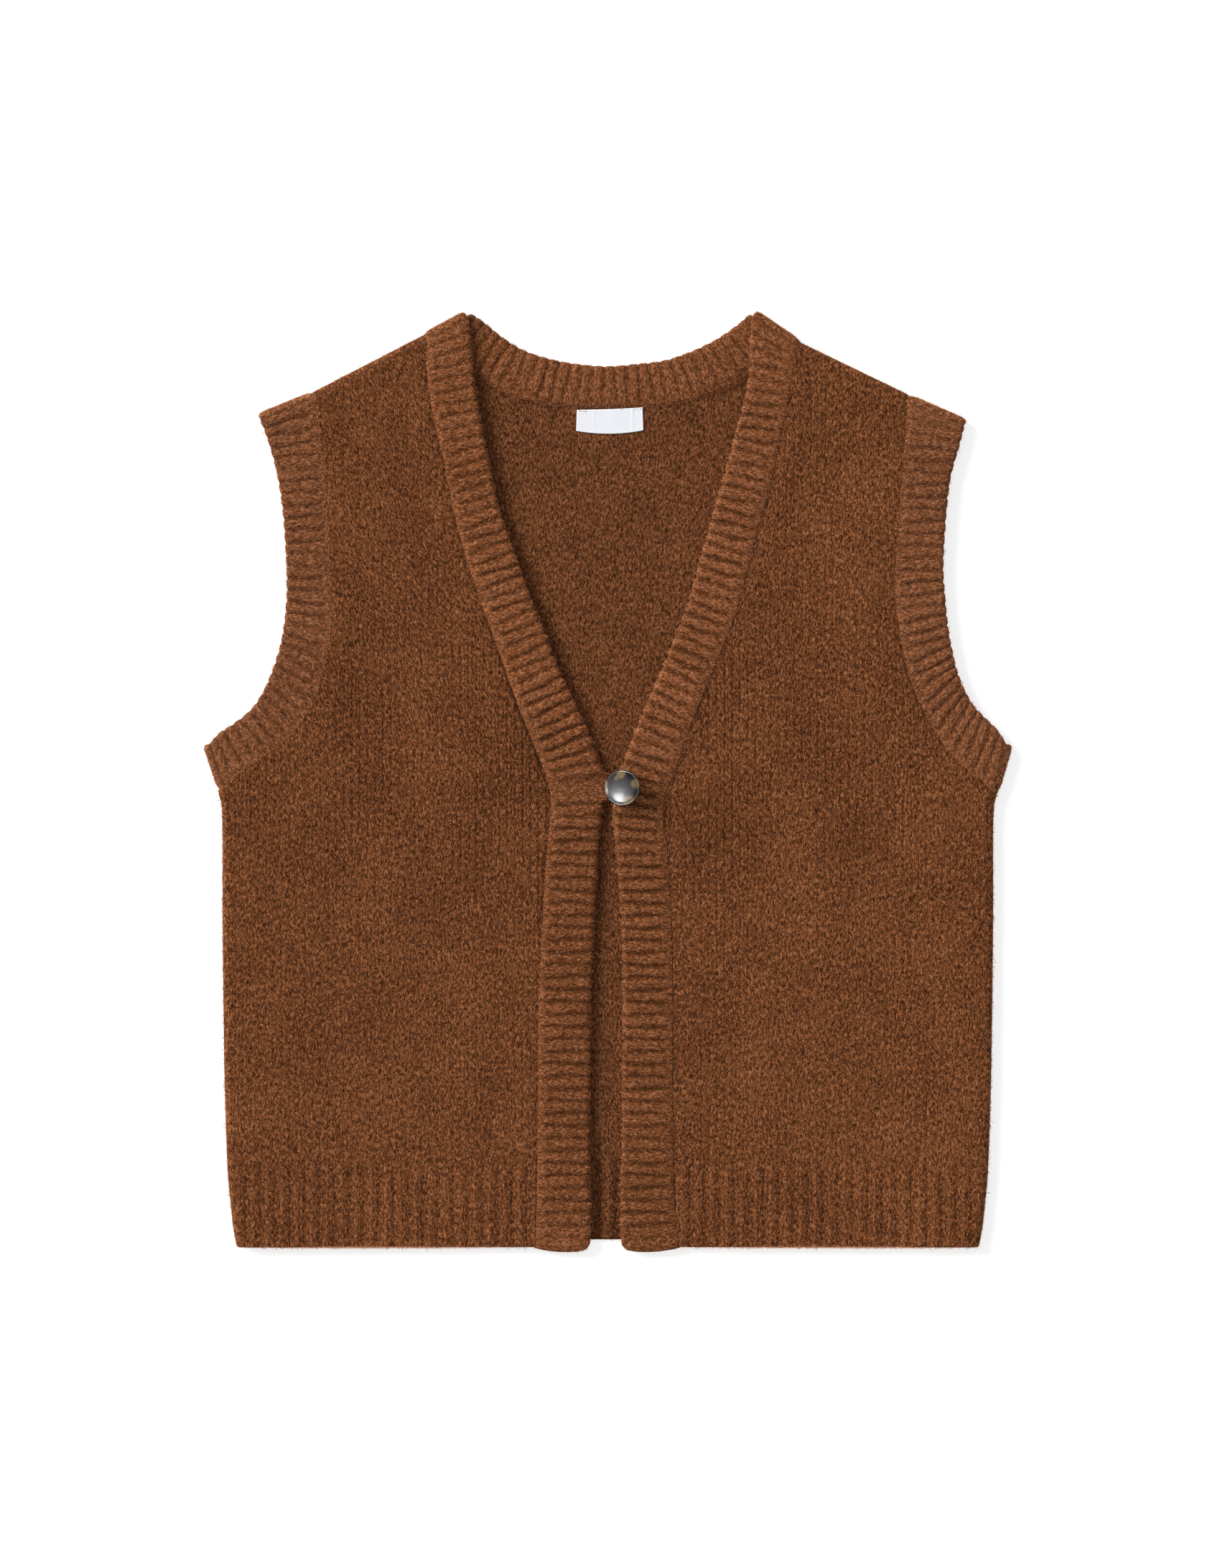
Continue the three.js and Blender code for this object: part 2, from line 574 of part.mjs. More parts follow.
// Places along a strip of rib, two to a rib: the groove and then the crest.
function ribPlaces(strip, pitch, withRibs = true) {
  const steps = 400;
  const middleOf = (place) => {
    const section = between(strip, place);
    return new THREE.Vector2(section.seamX + section.edgeX, section.seamY + section.edgeY).divideScalar(2);
  };
  const lengths = [0];
  let last = middleOf(0);
  for (let step = 1; step <= steps; step += 1) {
    const next = middleOf((step / steps) * (strip.length - 1));
    lengths.push(lengths[step - 1] + next.distanceTo(last));
    last = next;
  }
  const whole = lengths[steps];
  const count = Math.round(whole / pitch) * (withRibs ? 2 : 1);
  const places = [];
  let step = 0;
  for (let index = 0; index <= count; index += 1) {
    const wanted = (index / count) * whole;
    while (step < steps - 1 && lengths[step + 1] < wanted) step += 1;
    const part = (wanted - lengths[step]) / (lengths[step + 1] - lengths[step]);
    places.push({
      place: ((step + THREE.MathUtils.clamp(part, 0, 1)) / steps) * (strip.length - 1),
      crest: withRibs ? index % 2 : 0,
    });
  }
  return places;
}

// One cross-section of a rib band, from its sewn edge to its rounded free edge.
const bandOuterProfile = [
  { share: 0, reach: 0.3, rib: 0 },
  { share: 0.03, reach: 1, rib: 1 },
  { share: 0.93, reach: 1, rib: 1 },
  { share: 1, reach: 0.2, rib: 0.3 },
];
const bandInnerProfile = [
  { share: 0.02, reach: 1 },
  { share: 0.95, reach: 1 },
];
function bandRing({ seam, edge, normal, wall, edgeWall = wall, crest = 0, rise, innerRise = 0 }) {
  const across = edge.clone().sub(seam);
  const width = across.length();
  const at = (share, reach) => {
    const stretched = share * (1 + (share > 0.99 ? (crest * ribScallop) / width : 0));
    const middle = seam.clone().addScaledVector(across, stretched);
    return middle.addScaledVector(normal, reach);
  };
  const halfWall = (share) => THREE.MathUtils.lerp(wall, edgeWall, share) / 2;
  return {
    outer: bandOuterProfile.map(({ share, reach, rib }) => ({
      share,
      point: at(share, halfWall(share) * reach + rib * crest * rise),
    })),
    inner: bandInnerProfile.map(({ share, reach }) => ({
      share,
      point: at(share, -halfWall(share) * reach - crest * innerRise),
    })),
  };
}

// The rings where a band folds over between its front half and its back half.
function foldRings(section, frontZ, backZ, wall, turns) {
  const axisZ = (frontZ + backZ) / 2;
  const radius = (frontZ - backZ) / 2;
  const outward = foldOutward(section);
  return turns.map((turn) => {
    const angle = THREE.MathUtils.degToRad(turn);
    const normal = new THREE.Vector3(
      outward.x * Math.sin(angle),
      outward.y * Math.sin(angle),
      Math.cos(angle),
    );
    const place = (x, y) => new THREE.Vector3(x, y, axisZ).addScaledVector(normal, radius);
    return bandRing({
      seam: place(section.seamX, section.seamY),
      edge: place(section.edgeX, section.edgeY),
      normal,
      wall,
      rise: 0,
    });
  });
}

// An armhole band: a closed loop, its front half over its back half.
function armholeBand(sections) {
  const backZ = armholeWall / 2;
  const frontZ = foldHeight - armholeWall / 2;
  const ring = (section, z, facing, crest) =>
    bandRing({
      seam: new THREE.Vector3(section.seamX, section.seamY, z),
      edge: new THREE.Vector3(section.edgeX, section.edgeY, z),
      normal: new THREE.Vector3(0, 0, facing),
      wall: armholeWall,
      crest,
      rise: armholeRibRise,
    });
  const front = ribPlaces(sections, armholeRibPitch).map(({ place, crest }) =>
    ring(between(sections, place), frontZ, 1, crest),
  );
  const back = ribPlaces(sections, 14, false)
    .reverse()
    .map(({ place }) => ring(between(sections, place), backZ, -1, 0));
  const overTip = foldRings(sections.at(-1), frontZ, backZ, armholeWall, [30, 60, 90, 120, 150]);
  const underarm = foldRings(sections[0], frontZ, backZ, armholeWall, [150, 120, 90, 60, 30]);
  return solidThrough([...front, ...overTip, ...back, ...underarm], true);
}

// The neck and front band before the buttonhole is cut.
function wholeNeckBand() {
  const ring = (section, crest, facing) => {
    const tab = section.tab ?? 0;
    const middleZ = section.low + neckBandWall / 2;
    return bandRing({
      seam: new THREE.Vector3(section.seamX, section.seamY, middleZ),
      edge: new THREE.Vector3(
        section.edgeX + tabReach * tab,
        section.edgeY,
        middleZ + section.lift - (tabThinning / 2) * tab,
      ),
      normal: new THREE.Vector3(0, 0, facing),
      wall: neckBandWall,
      edgeWall: neckBandWall - tabThinning * tab,
      crest: crest * (1 - tab),
      rise: facing > 0 ? neckRibRise : 0,
      innerRise: facing > 0 ? 0 : neckRibRise,
    });
  };
  const strip = (table, facing, change = (section) => section) =>
    ribPlaces(table, neckRibPitch).map(({ place, crest }) =>
      ring(change(between(table, place)), crest, facing),
    );
  const withTab = (section) => {
    const offCentre = (section.edgeY - buttonY) / tabHalfHeight;
    return { ...section, tab: Math.exp(-(offCentre ** 4)) };
  };
  const frontZ = leftLeg.at(-1).low + neckBandWall / 2;
  const backZ = neckBandWall / 2;
  const down = [30, 60, 90, 120, 150];
  const back = [150, 120, 90, 60, 30];
  return solidThrough([
    ...strip(leftLeg, 1, withTab),
    ...foldRings(leftLeg.at(-1), frontZ, backZ, neckBandWall, down),
    ...strip(backNeck, -1),
    ...foldRings(rightLeg[0], frontZ, backZ, neckBandWall, back),
    ...strip(rightLeg, 1),
  ]);
}

// The buttonhole: a slit pulled open to a wedge beside the button.
const buttonholeOutline = [
  { x: 8.4, y: -3.9 },
  { x: 30.8, y: -2.7 },
  { x: 30.8, y: -2.1 },
  { x: 26, y: 0 },
  { x: 20, y: 1.5 },
  { x: 13, y: 0.9 },
  { x: 8.4, y: -0.7 },
];
function buttonholeCutter() {
  const points = buttonholeOutline.map(({ x, y }) => new THREE.Vector2(x, y));
  const depth = 14;
  const cutter = new THREE.ExtrudeGeometry(new THREE.Shape(points), { depth, bevelEnabled: false });
  return cutter.translate(0, 0, 3.2);
}

// A three.js geometry with its shared vertices merged, as a solid that can be cut.
function toSolid(wasm, geometry) {
  const bare = geometry.clone();
  bare.deleteAttribute("normal");
  bare.deleteAttribute("uv");
  const merged = mergeVertices(bare, 1e-4);
  return new wasm.Manifold(
    new wasm.Mesh({
      numProp: 3,
      vertProperties: new Float32Array(merged.getAttribute("position").array),
      triVerts: new Uint32Array(merged.getIndex().array),
    }),
  );
}

function fromSolid(solid) {
  const mesh = solid.getMesh();
  const geometry = new THREE.BufferGeometry();
  geometry.setAttribute("position", new THREE.Float32BufferAttribute(mesh.vertProperties, 3));
  geometry.setIndex(Array.from(mesh.triVerts));
  geometry.computeVertexNormals();
  return geometry;
}

async function neckBand() {
  const wasm = await Module();
  wasm.setup();
  const band = toSolid(wasm, wholeNeckBand());
  return fromSolid(band.subtract(toSolid(wasm, buttonholeCutter())));
}

// Half outline of the button, from the boss under it out to the rim and over the dome.
const buttonOutline = [
  { radius: 0, z: -1 },
  { radius: 2.8, z: -1 },
  { radius: 3.2, z: 0 },
  { radius: 9.6, z: 0.2 },
  { radius: 11.8, z: 1 },
  { radius: buttonRadius, z: 2.1 },
  { radius: 12.1, z: 3 },
  { radius: 11.2, z: 3.5 },
  { radius: 8, z: 4.4 },
  { radius: 4, z: 4.9 },
  { radius: 0, z: 5.1 },
];
function button() {
  const outline = buttonOutline.map(({ radius, z }) => new THREE.Vector2(radius, z));
  return new THREE.LatheGeometry(outline, 28).rotateX(Math.PI / 2);
}

function buttonThread() {
  const topZ = buttonBaseZ - 1.7;
  const thread = new THREE.CylinderGeometry(threadRadius, threadRadius, topZ - threadBottomZ, 12);
  return thread.rotateX(Math.PI / 2).translate(buttonX + 0.6, buttonY + 1.2, (topZ + threadBottomZ) / 2);
}

// The label hangs a little lower in its middle than at its ends.
function neckLabel() {
  const outline = new THREE.Shape();
  outline.moveTo(-21.5, 259.7);
  outline.lineTo(-22, 245);
  outline.quadraticCurveTo(1.5, 240.8, 24.8, 245.4);
  outline.lineTo(24.3, 261.4);
  outline.quadraticCurveTo(1.5, 259.8, -21.5, 259.7);
  const label = new THREE.ExtrudeGeometry(outline, { depth: labelWall, bevelEnabled: false, curveSegments: 8 });
  return label.translate(0, 0, knitWall + 0.3);
}

function piece(name, geometry, color, roughness, metalness = 0) {
  const material = new THREE.MeshStandardMaterial({ color, roughness, metalness });
  const mesh = new THREE.Mesh(geometry, material);
  mesh.name = name;
  return mesh;
}

const group = new THREE.Group();
group.add(piece("back", backPanel(), brown, 0.95));
group.add(piece("front_left", frontPanel(-1), brown, 0.95));
group.add(piece("front_right", frontPanel(1), brown, 0.95));
group.add(piece("neck_band", await neckBand(), ribBrown, 0.95));
group.add(piece("armhole_band_left", armholeBand(armholeLeft), ribBrown, 0.95));
group.add(piece("armhole_band_right", armholeBand(armholeRight), ribBrown, 0.95));
const buttonMesh = piece("button", button(), 0x3a3a40, 0.25);
buttonMesh.position.set(buttonX, buttonY, buttonBaseZ);
buttonMesh.rotation.y = buttonTilt;
group.add(buttonMesh);
group.add(piece("button_thread", buttonThread(), 0x3b2417, 0.9));
group.add(piece("neck_label", neckLabel(), 0xf0f1f5, 0.8));

// The origin is the middle of the vest's outline, on the table.
const outline = new THREE.Box3().setFromObject(group, true);
const middle = outline.getCenter(new THREE.Vector3());
group.position.set(-middle.x, -middle.y, 0);

export default group;
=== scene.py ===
import math

import bpy
import numpy as np
from mathutils import Matrix, Vector


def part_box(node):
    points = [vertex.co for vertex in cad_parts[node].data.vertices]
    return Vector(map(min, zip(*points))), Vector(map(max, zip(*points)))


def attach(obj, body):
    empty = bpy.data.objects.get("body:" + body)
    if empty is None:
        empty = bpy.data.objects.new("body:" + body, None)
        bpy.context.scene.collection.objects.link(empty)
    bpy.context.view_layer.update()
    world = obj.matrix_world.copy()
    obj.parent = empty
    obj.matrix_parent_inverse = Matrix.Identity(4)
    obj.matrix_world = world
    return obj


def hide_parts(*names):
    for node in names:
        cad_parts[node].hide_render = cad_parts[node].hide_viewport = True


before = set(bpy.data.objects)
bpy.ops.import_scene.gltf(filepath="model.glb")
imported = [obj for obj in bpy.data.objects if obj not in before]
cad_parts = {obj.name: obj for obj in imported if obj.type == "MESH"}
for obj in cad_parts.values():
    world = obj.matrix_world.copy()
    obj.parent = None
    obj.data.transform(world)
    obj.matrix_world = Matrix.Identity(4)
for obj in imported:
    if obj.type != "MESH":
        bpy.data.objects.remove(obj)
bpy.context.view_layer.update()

# Back panel
# Knitted in one piece of thick brushed wool-blend yarn, from its ribbed hem to the shoulders.
# It lies face down, so its inside shows in the neck opening, and its edges turn up round
# the side and shoulder folds to the seams.
knit_wall = 0.003
seam_gap = 0.0003
fold_axis_z = 0.0046
fold_radius = fold_axis_z - knit_wall / 2
seam_stop = math.radians(86)
back_hem_y = -0.3185
hem_height = 0.061
hem_rib_pitch = 0.0103
underarm_drop = 0.0014
armhole_length = 0.27
course = 0.0042
wale = 0.0054
fold_steps = 5
shoulder_points = 12
column_clearance = 0.0012
neck_corner_gap = 0.0034
neck_seam_room = 0.00055
pebble_height = 0.00022

# Half the body width at heights up the side: y, half width.
side_profile = np.array([
    (-0.3250, 0.2580),
    (-0.3100, 0.2608),
    (-0.2900, 0.2630),
    (-0.2650, 0.2650),
    (-0.2000, 0.2670),
    (-0.1000, 0.2683),
    (-0.0250, 0.2685),
    (-0.0080, 0.2710),
    (0.0000, 0.2720),
])
# Armholes from the underarm to the shoulder tip: seam x, seam y, free edge x, free edge y.
armhole_left = np.array([
    (-0.2665, -0.0040, -0.2770, 0.0270),
    (-0.2565, 0.0065, -0.2700, 0.0345),
    (-0.2425, 0.0165, -0.2600, 0.0410),
    (-0.2295, 0.0260, -0.2495, 0.0495),
    (-0.2175, 0.0375, -0.2415, 0.0600),
    (-0.2075, 0.0520, -0.2350, 0.0735),
    (-0.2010, 0.0685, -0.2305, 0.0860),
    (-0.1960, 0.0880, -0.2265, 0.1010),
    (-0.1930, 0.1140, -0.2240, 0.1200),
    (-0.1935, 0.1420, -0.2233, 0.1430),
    (-0.1955, 0.1850, -0.2255, 0.1830),
    (-0.1975, 0.2140, -0.2295, 0.2120),
    (-0.2005, 0.2420, -0.2358, 0.2365),
    (-0.2030, 0.2680, -0.2418, 0.2524),
])
armhole_right = np.array([
    (0.2675, -0.0055, 0.2770, 0.0270),
    (0.2595, 0.0020, 0.2710, 0.0365),
    (0.2495, 0.0095, 0.2635, 0.0440),
    (0.2395, 0.0190, 0.2565, 0.0510),
    (0.2320, 0.0285, 0.2515, 0.0580),
    (0.2245, 0.0410, 0.2470, 0.0670),
    (0.2155, 0.0590, 0.2425, 0.0790),
    (0.2090, 0.0775, 0.2395, 0.0920),
    (0.2045, 0.0955, 0.2370, 0.1050),
    (0.2005, 0.1225, 0.2347, 0.1270),
    (0.2000, 0.1485, 0.2333, 0.1500),
    (0.2025, 0.1850, 0.2352, 0.1850),
    (0.2045, 0.2125, 0.2383, 0.2120),
    (0.2065, 0.2400, 0.2445, 0.2345),
    (0.2070, 0.2662, 0.2480, 0.2484),
])
# Back neck from the left shoulder to the right: seam x, seam y, free edge x, free edge y,
# height of its underside, and how much higher that is at the free edge.
back_neck = np.array([
    (-0.1257, 0.3078, -0.0967, 0.3262, 0, 0),
    (-0.1205, 0.3042, -0.0938, 0.3258, 0, 0),
    (-0.1090, 0.2960, -0.0862, 0.3205, 0, 0),
    (-0.0900, 0.2825, -0.0725, 0.3095, 0, 0),
    (-0.0700, 0.2715, -0.0570, 0.3005, 0, 0),
    (-0.0450, 0.2645, -0.0370, 0.2943, 0, 0),
    (-0.0200, 0.2623, -0.0160, 0.2910, 0, 0),
    (0.0010, 0.2620, 0.0010, 0.2900, 0, 0),
    (0.0220, 0.2623, 0.0190, 0.2915, 0, 0),
    (0.0470, 0.2645, 0.0390, 0.2940, 0, 0),
    (0.0720, 0.2710, 0.0590, 0.3007, 0, 0),
    (0.0930, 0.2805, 0.0750, 0.3085, 0, 0),
    (0.1130, 0.2920, 0.0898, 0.3185, 0, 0),
    (0.1262, 0.2996, 0.0976, 0.3252, 0, 0),
    (0.1315, 0.3028, 0.1002, 0.3258, 0, 0),
])
seam_x, seam_y, edge_x, edge_y, low_z, edge_lift = range(6)

# The drawing's zero is a little off the middle of the outline. The label's corner, which
# is drawn at these two values, tells by how much.
label_left, label_top = -0.022, 0.2614
label_low, label_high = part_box("neck_label")
drawing_shift = np.array([label_low.x - label_left, label_high.y - label_top, 0])


# Values of a table at a place between its rows, on a smooth curve through them.
def between(table, place):
    row = min(int(place), len(table) - 2)
    part = place - row
    a, b, c, d = (table[min(max(row + step, 0), len(table) - 1)] for step in (-1, 0, 1, 2))
    bend = 2 * a - 5 * b + 4 * c - d + (3 * (b - c) + d - a) * part
    return b + 0.5 * part * (c - a + part * bend)


# The place in a table where one rising or falling column passes a value.
def place_of(table, column, value):
    rising = table[-1][column] > table[0][column]
    first, last = 0.0, len(table) - 1.0
    for _ in range(30):
        middle = (first + last) / 2
        if (between(table, middle)[column] < value) == rising:
            first = middle
        else:
            last = middle
    return (first + last) / 2


def across_band(section):
    across = section[[edge_x, edge_y]] - section[[seam_x, seam_y]]
    return across / np.linalg.norm(across)


# The edge of a panel where a band is sewn to it, a gap away from the band.
def beside_band(section, gap=seam_gap):
    return section[[seam_x, seam_y]] - gap * across_band(section)


# The way out over a fold, square to the band that folds there.
def fold_outward(section):
    across = across_band(section)
    outward = np.array([-across[1], across[0]])
    return -outward if outward @ section[[seam_x, seam_y]] < 0 else outward


def armhole_of(side):
    return armhole_left if side < 0 else armhole_right


# Where a panel's flat cloth ends: along the axis of the side fold, and then along the armhole
# seam, with whether it folds there. Height 0 to 1 runs from the hem to the underarm, and 1 to
# 2 to the shoulder tip.
def outer_edge(side, hem_y, height):
    armhole = armhole_of(side)
    if height <= 1:
        underarm_y = armhole[0][seam_y] - underarm_drop
        y = hem_y + (underarm_y - hem_y) * height
        half = between(side_profile, place_of(side_profile, 0, y))[1]
        return np.array([side * (half - fold_axis_z), y]), True
    first_y = between(armhole, 0.15)[seam_y]
    y = first_y + (armhole[-1][seam_y] - first_y) * (height - 1) ** 1.3
    return beside_band(between(armhole, place_of(armhole, seam_y, y))), False


# Heights of a panel's rows: close together round the hem's edge, then one for each step.
def row_heights(hem_y, side, step):
    side_length = armhole_of(side)[0][seam_y] - underarm_drop - hem_y
    edge_rows = [0, 0.0003, 0.0008, 0.0016]
    body_rows = np.linspace(0.003, side_length, int(side_length / step))
    armhole_rows = int(armhole_length / step)
    past = np.linspace(0, 1, armhole_rows + 1)
    past[0] = 1e-6
    return np.concatenate([np.array(edge_rows) / side_length, body_rows / side_length, 1 + past])


# How thick the cloth is at a distance from its rounded edge.
def wall_from_edge(distance, wall=knit_wall, rounding=0.0016):
    part = min(distance / rounding, 1)
    return wall * (0.3 + 0.7 * math.sqrt(1 - (1 - part) ** 2))


# A rib of the hem: three knitted columns, the middle one highest, and a groove beside them.
def hem_rib(x):
    place = 2 * np.pi * x / hem_rib_pitch
    return 0.5 + 0.44 * np.cos(place) + 0.36 * np.cos(3 * place)


# Where points of a row are in the knitting: across its wales, along them, and how deep in
# a hollow between wales or ribs, up to 1, which colours the wool darker there as painted
# shade. Wool is paler where that is less than 0.
def knit_places(across, along, hollow=0):
    return np.column_stack(np.broadcast_arrays(across, along, hollow))


# Joins two rows of points with triangles. Points with equal keys face each other.
def stitch(faces, first, second, turned):
    (first_keys, first_ids), (second_keys, second_ids) = first, second
    a, b = 0, 0
    last_a, last_b = len(first_ids) - 1, len(second_ids) - 1
    while a < last_a or b < last_b:
        if b == last_b or (a < last_a and first_keys[a + 1] <= second_keys[b + 1]):
            face = (first_ids[a], first_ids[a + 1], second_ids[b])
            a += 1
        else:
            face = (first_ids[a], second_ids[b + 1], second_ids[b])
            b += 1
        faces.append(face[::-1] if turned else face)


# A closed cloth shell through rows. A row has an outer and an inner line, each a tuple of
# keys, points, and the places of those points in the knitting.
def cloth_shell(rows, closed=False):
    points, knit, outside, faces = [], [], [], []
    count = 0
    placed = []
    for row in rows:
        lines = []
        for facing_out, (keys, line, places) in zip((True, False), row):
            ids = list(range(count, count + len(line)))
            count += len(line)
            points.append(line)
            knit.append(places)
            outside.append(np.full(len(line), facing_out))
            lines.append((list(keys), ids))
        placed.append(lines)
    joins = len(placed) if closed else len(placed) - 1
    for index in range(joins):
        (outer, inner), (next_outer, next_inner) = placed[index], placed[(index + 1) % len(placed)]
        stitch(faces, outer, next_outer, False)
        stitch(faces, inner, next_inner, True)
        for end, turned in ((0, True), (-1, False)):
            here = ([0, 1], [outer[1][end], inner[1][end]])
            there = ([0, 1], [next_outer[1][end], next_inner[1][end]])
            stitch(faces, here, there, turned)
    if not closed:
        stitch(faces, placed[0][1], placed[0][0], False)
        stitch(faces, placed[-1][1], placed[-1][0], True)
    points, faces = np.concatenate(points), np.array(faces)
    corners = points[faces]
    volume = np.einsum("ij,ij->", corners[:, 0], np.cross(corners[:, 1], corners[:, 2]))
    if volume < 0:
        faces = faces[:, ::-1]
    points[:, 2] = np.maximum(points[:, 2], 0)
    return {
        "points": points + drawing_shift,
        "faces": faces,
        "outside": np.concatenate(outside),
        "knit": np.concatenate(knit)[:, :2],
        "hollow": np.concatenate(knit)[:, 2],
    }


# A mesh object from arrays of points and triangles.
def mesh_object(name, points, faces):
    mesh = bpy.data.meshes.new(name)
    mesh.vertices.add(len(points))
    mesh.vertices.foreach_set("co", np.asarray(points, np.float32).ravel())
    mesh.loops.add(faces.size)
    mesh.loops.foreach_set("vertex_index", faces.astype(np.int32).ravel())
    mesh.polygons.add(len(faces))
    mesh.polygons.foreach_set("loop_start", np.arange(0, faces.size, 3, dtype=np.int32))
    mesh.polygons.foreach_set("use_smooth", np.ones(len(faces), bool))
    mesh.update(calc_edges=True)
    piece = bpy.data.objects.new(name, mesh)
    bpy.context.scene.collection.objects.link(piece)
    return piece


def add_map(piece, places):
    layer = piece.data.uv_layers.new(name="OFBake")
    layer.uv.foreach_set("vector", np.asarray(places, np.float32).ravel())


# A cloth piece, with its place in the knitting as a vector on each point, and a flat map
# whose left half has the outer face and whose right half has the inner face.
def cloth_piece(name, shell, yarn, layer):
    piece = mesh_object(name, shell["points"], shell["faces"])
    places = np.column_stack([shell["knit"], np.full(len(shell["knit"]), 0.1 * layer)])
    attribute = piece.data.attributes.new("knit", "FLOAT_VECTOR", "POINT")
    attribute.data.foreach_set("vector", places.astype(np.float32).ravel())
    hollow = piece.data.attributes.new("hollow", "FLOAT", "POINT")
    hollow.data.foreach_set("value", shell["hollow"].astype(np.float32))
    inside = ~shell["outside"][shell["faces"]].any(axis=1)
    low, high = shell["points"].min(0), shell["points"].max(0)
    flat = (shell["points"] - low)[:, :2] / (high - low).max()
    corners = flat[shell["faces"]] * 0.49
    corners[inside, :, 0] += 0.5
    add_map(piece, corners.reshape(-1, 2))
    piece.data.materials.append(yarn)
    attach(piece, "root")
    return piece


# Curled tufts of fibre on the brushed cloth: small closed spindles, bent in the middle, most
# of them lying along the wales, each with its own tone. They stand closest where the cloth
# turns down at an edge, are shorter and thinner there, and are few in the hollows.
tuft_faces = np.array([(0, 1, 2), (0, 2, 3), (0, 3, 1), (4, 2, 1), (4, 3, 2), (4, 1, 3)])


# Where the tufts stand, with the ways square to the cloth, along its wales and across them.
def tuft_places(shell, count, random, pick):
    points, faces = shell["points"], shell["faces"]
    corners = points[faces]
    cross = np.cross(corners[:, 1] - corners[:, 0], corners[:, 2] - corners[:, 0])
    area = np.linalg.norm(cross, axis=1)
    up = cross[:, 2] / np.maximum(area, 1e-12)
    sunk = np.clip(shell["hollow"][faces].mean(axis=1), 0, 1)
    outline = 8 * np.exp(-((up / 0.4) ** 2))
    weight = area * np.clip(0.3 + 0.7 * up + outline, 0, 8.5) * (1 - 0.8 * sunk)
    if pick is not None:
        weight = weight * pick(corners.mean(axis=1))
    chosen = random.choice(len(faces), count, p=weight / weight.sum())
    a, b = random.random((2, count))
    over = a + b > 1
    a[over], b[over] = 1 - a[over], 1 - b[over]
    first = corners[chosen, 0]
    side_a, side_b = corners[chosen, 1] - first, corners[chosen, 2] - first
    root = first + a[:, None] * side_a + b[:, None] * side_b
    normal = cross[chosen] / area[chosen][:, None]
    knit = shell["knit"][faces[chosen]]
    step_a, step_b = knit[:, 1] - knit[:, 0], knit[:, 2] - knit[:, 0]
    turn = step_a[:, 0] * step_b[:, 1] - step_a[:, 1] * step_b[:, 0]
    turn = np.where(np.abs(turn) < 1e-12, 1e-12, turn)[:, None]
    along = (-step_b[:, :1] * side_a + step_a[:, :1] * side_b) / turn
    along /= np.maximum(np.linalg.norm(along, axis=1), 1e-9)[:, None]
    edge = 1 - np.clip(up[chosen], 0, 1)
    return root, (normal, along, np.cross(normal, along)), edge, sunk[chosen]


# Five corners for each tuft: its two ends and three round its middle.
def tuft_corners(root, ways, edge, random, length, lift, spread):
    normal, along, beside = ways
    count = len(root)
    angle = random.normal(0, spread, count) + np.pi * (random.random(count) < 0.5)
    bend = random.normal(0, 0.8, count)
    rise = lift * random.random(count) ** 2 + 0.06 + 0.75 * edge * random.random(count)

    def heading(turned, climb):
        way = along * np.cos(turned)[:, None] + beside * np.sin(turned)[:, None] + normal * climb[:, None]
        return way / np.linalg.norm(way, axis=1)[:, None]

    half_length = (length / 2 * random.uniform(0.5, 1.25, count) * (1 - 0.35 * edge))[:, None]
    thick = (random.uniform(0.0001, 0.00022, count) * (1 - 0.45 * edge))[:, None]
    root = root - normal * 0.0001
    first_way, second_way = heading(angle, rise), heading(angle + bend, 0.4 * rise - 0.05)
    middle = root + first_way * half_length
    flank = np.cross(heading(angle + bend / 2, rise * 0), normal)
    tufts = np.stack([
        root,
        middle - flank * thick,
        middle + flank * thick,
        middle + normal * thick * 1.1,
        middle + second_way * half_length,
    ], axis=1)
    tufts[:, :, 2] = np.maximum(tufts[:, :, 2], 0.0001)
    return tufts


def fuzz_piece(name, shell, count, seed, wool, length=0.0042, lift=0.22, spread=0.75, pick=None):
    random = np.random.default_rng(seed)
    root, ways, edge, sunk = tuft_places(shell, count, random, pick)
    tufts = tuft_corners(root, ways, edge, random, length, lift, spread)
    made = tuft_faces[None] + 5 * np.arange(count)[:, None, None]
    piece = mesh_object(name, tufts.reshape(-1, 3), made.reshape(-1, 3))
    # Tufts in the hollows are coloured darker, painted shade, and tufts at the outline paler, a painted
    # glow of light coming through them.
    shade = np.clip(random.normal(0.46, 0.2, count) - 0.3 * sunk, 0, 0.84)
    tone = np.repeat(np.clip(shade + 0.75 * edge ** 2, 0, 1), 5)
    piece.data.attributes.new("tone", "FLOAT", "POINT").data.foreach_set("value", tone.astype(np.float32))
    across = int(math.ceil(math.sqrt(count)))
    cell = np.stack([np.arange(count) % across, np.arange(count) // across], axis=1)
    spots = np.array([(0.1, 0.1), (0.9, 0.1), (0.1, 0.9)])
    places = (cell[:, None, None, :] + spots[None, None]) / across
    add_map(piece, np.broadcast_to(places, (count, 6, 3, 2)).reshape(-1, 2))
    piece.data.materials.append(wool)
    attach(piece, "root")
    return piece


# Adds a node to a material, sets its plain inputs and links the others.
def add_node(tree, kind, settings=None, **inputs):
    made = tree.nodes.new(kind)
    for key, value in (settings or {}).items():
        setattr(made, key, value)
    for key, value in inputs.items():
        numbered = key[0] == "i" and key[1:].isdigit()
        socket = made.inputs[int(key[1:]) if numbered else key.replace("_", " ")]
        if isinstance(value, bpy.types.NodeSocket):
            tree.links.new(value, socket)
        else:
            socket.default_value = value
    return made


# A screen colour, 0 to 255, as the light that a surface gives back.
def tone_of(red, green, blue):
    parts = [part / 255 for part in (red, green, blue)]
    return (*[part / 12.92 if part < 0.04 else ((part + 0.055) / 1.055) ** 2.4 for part in parts], 1)


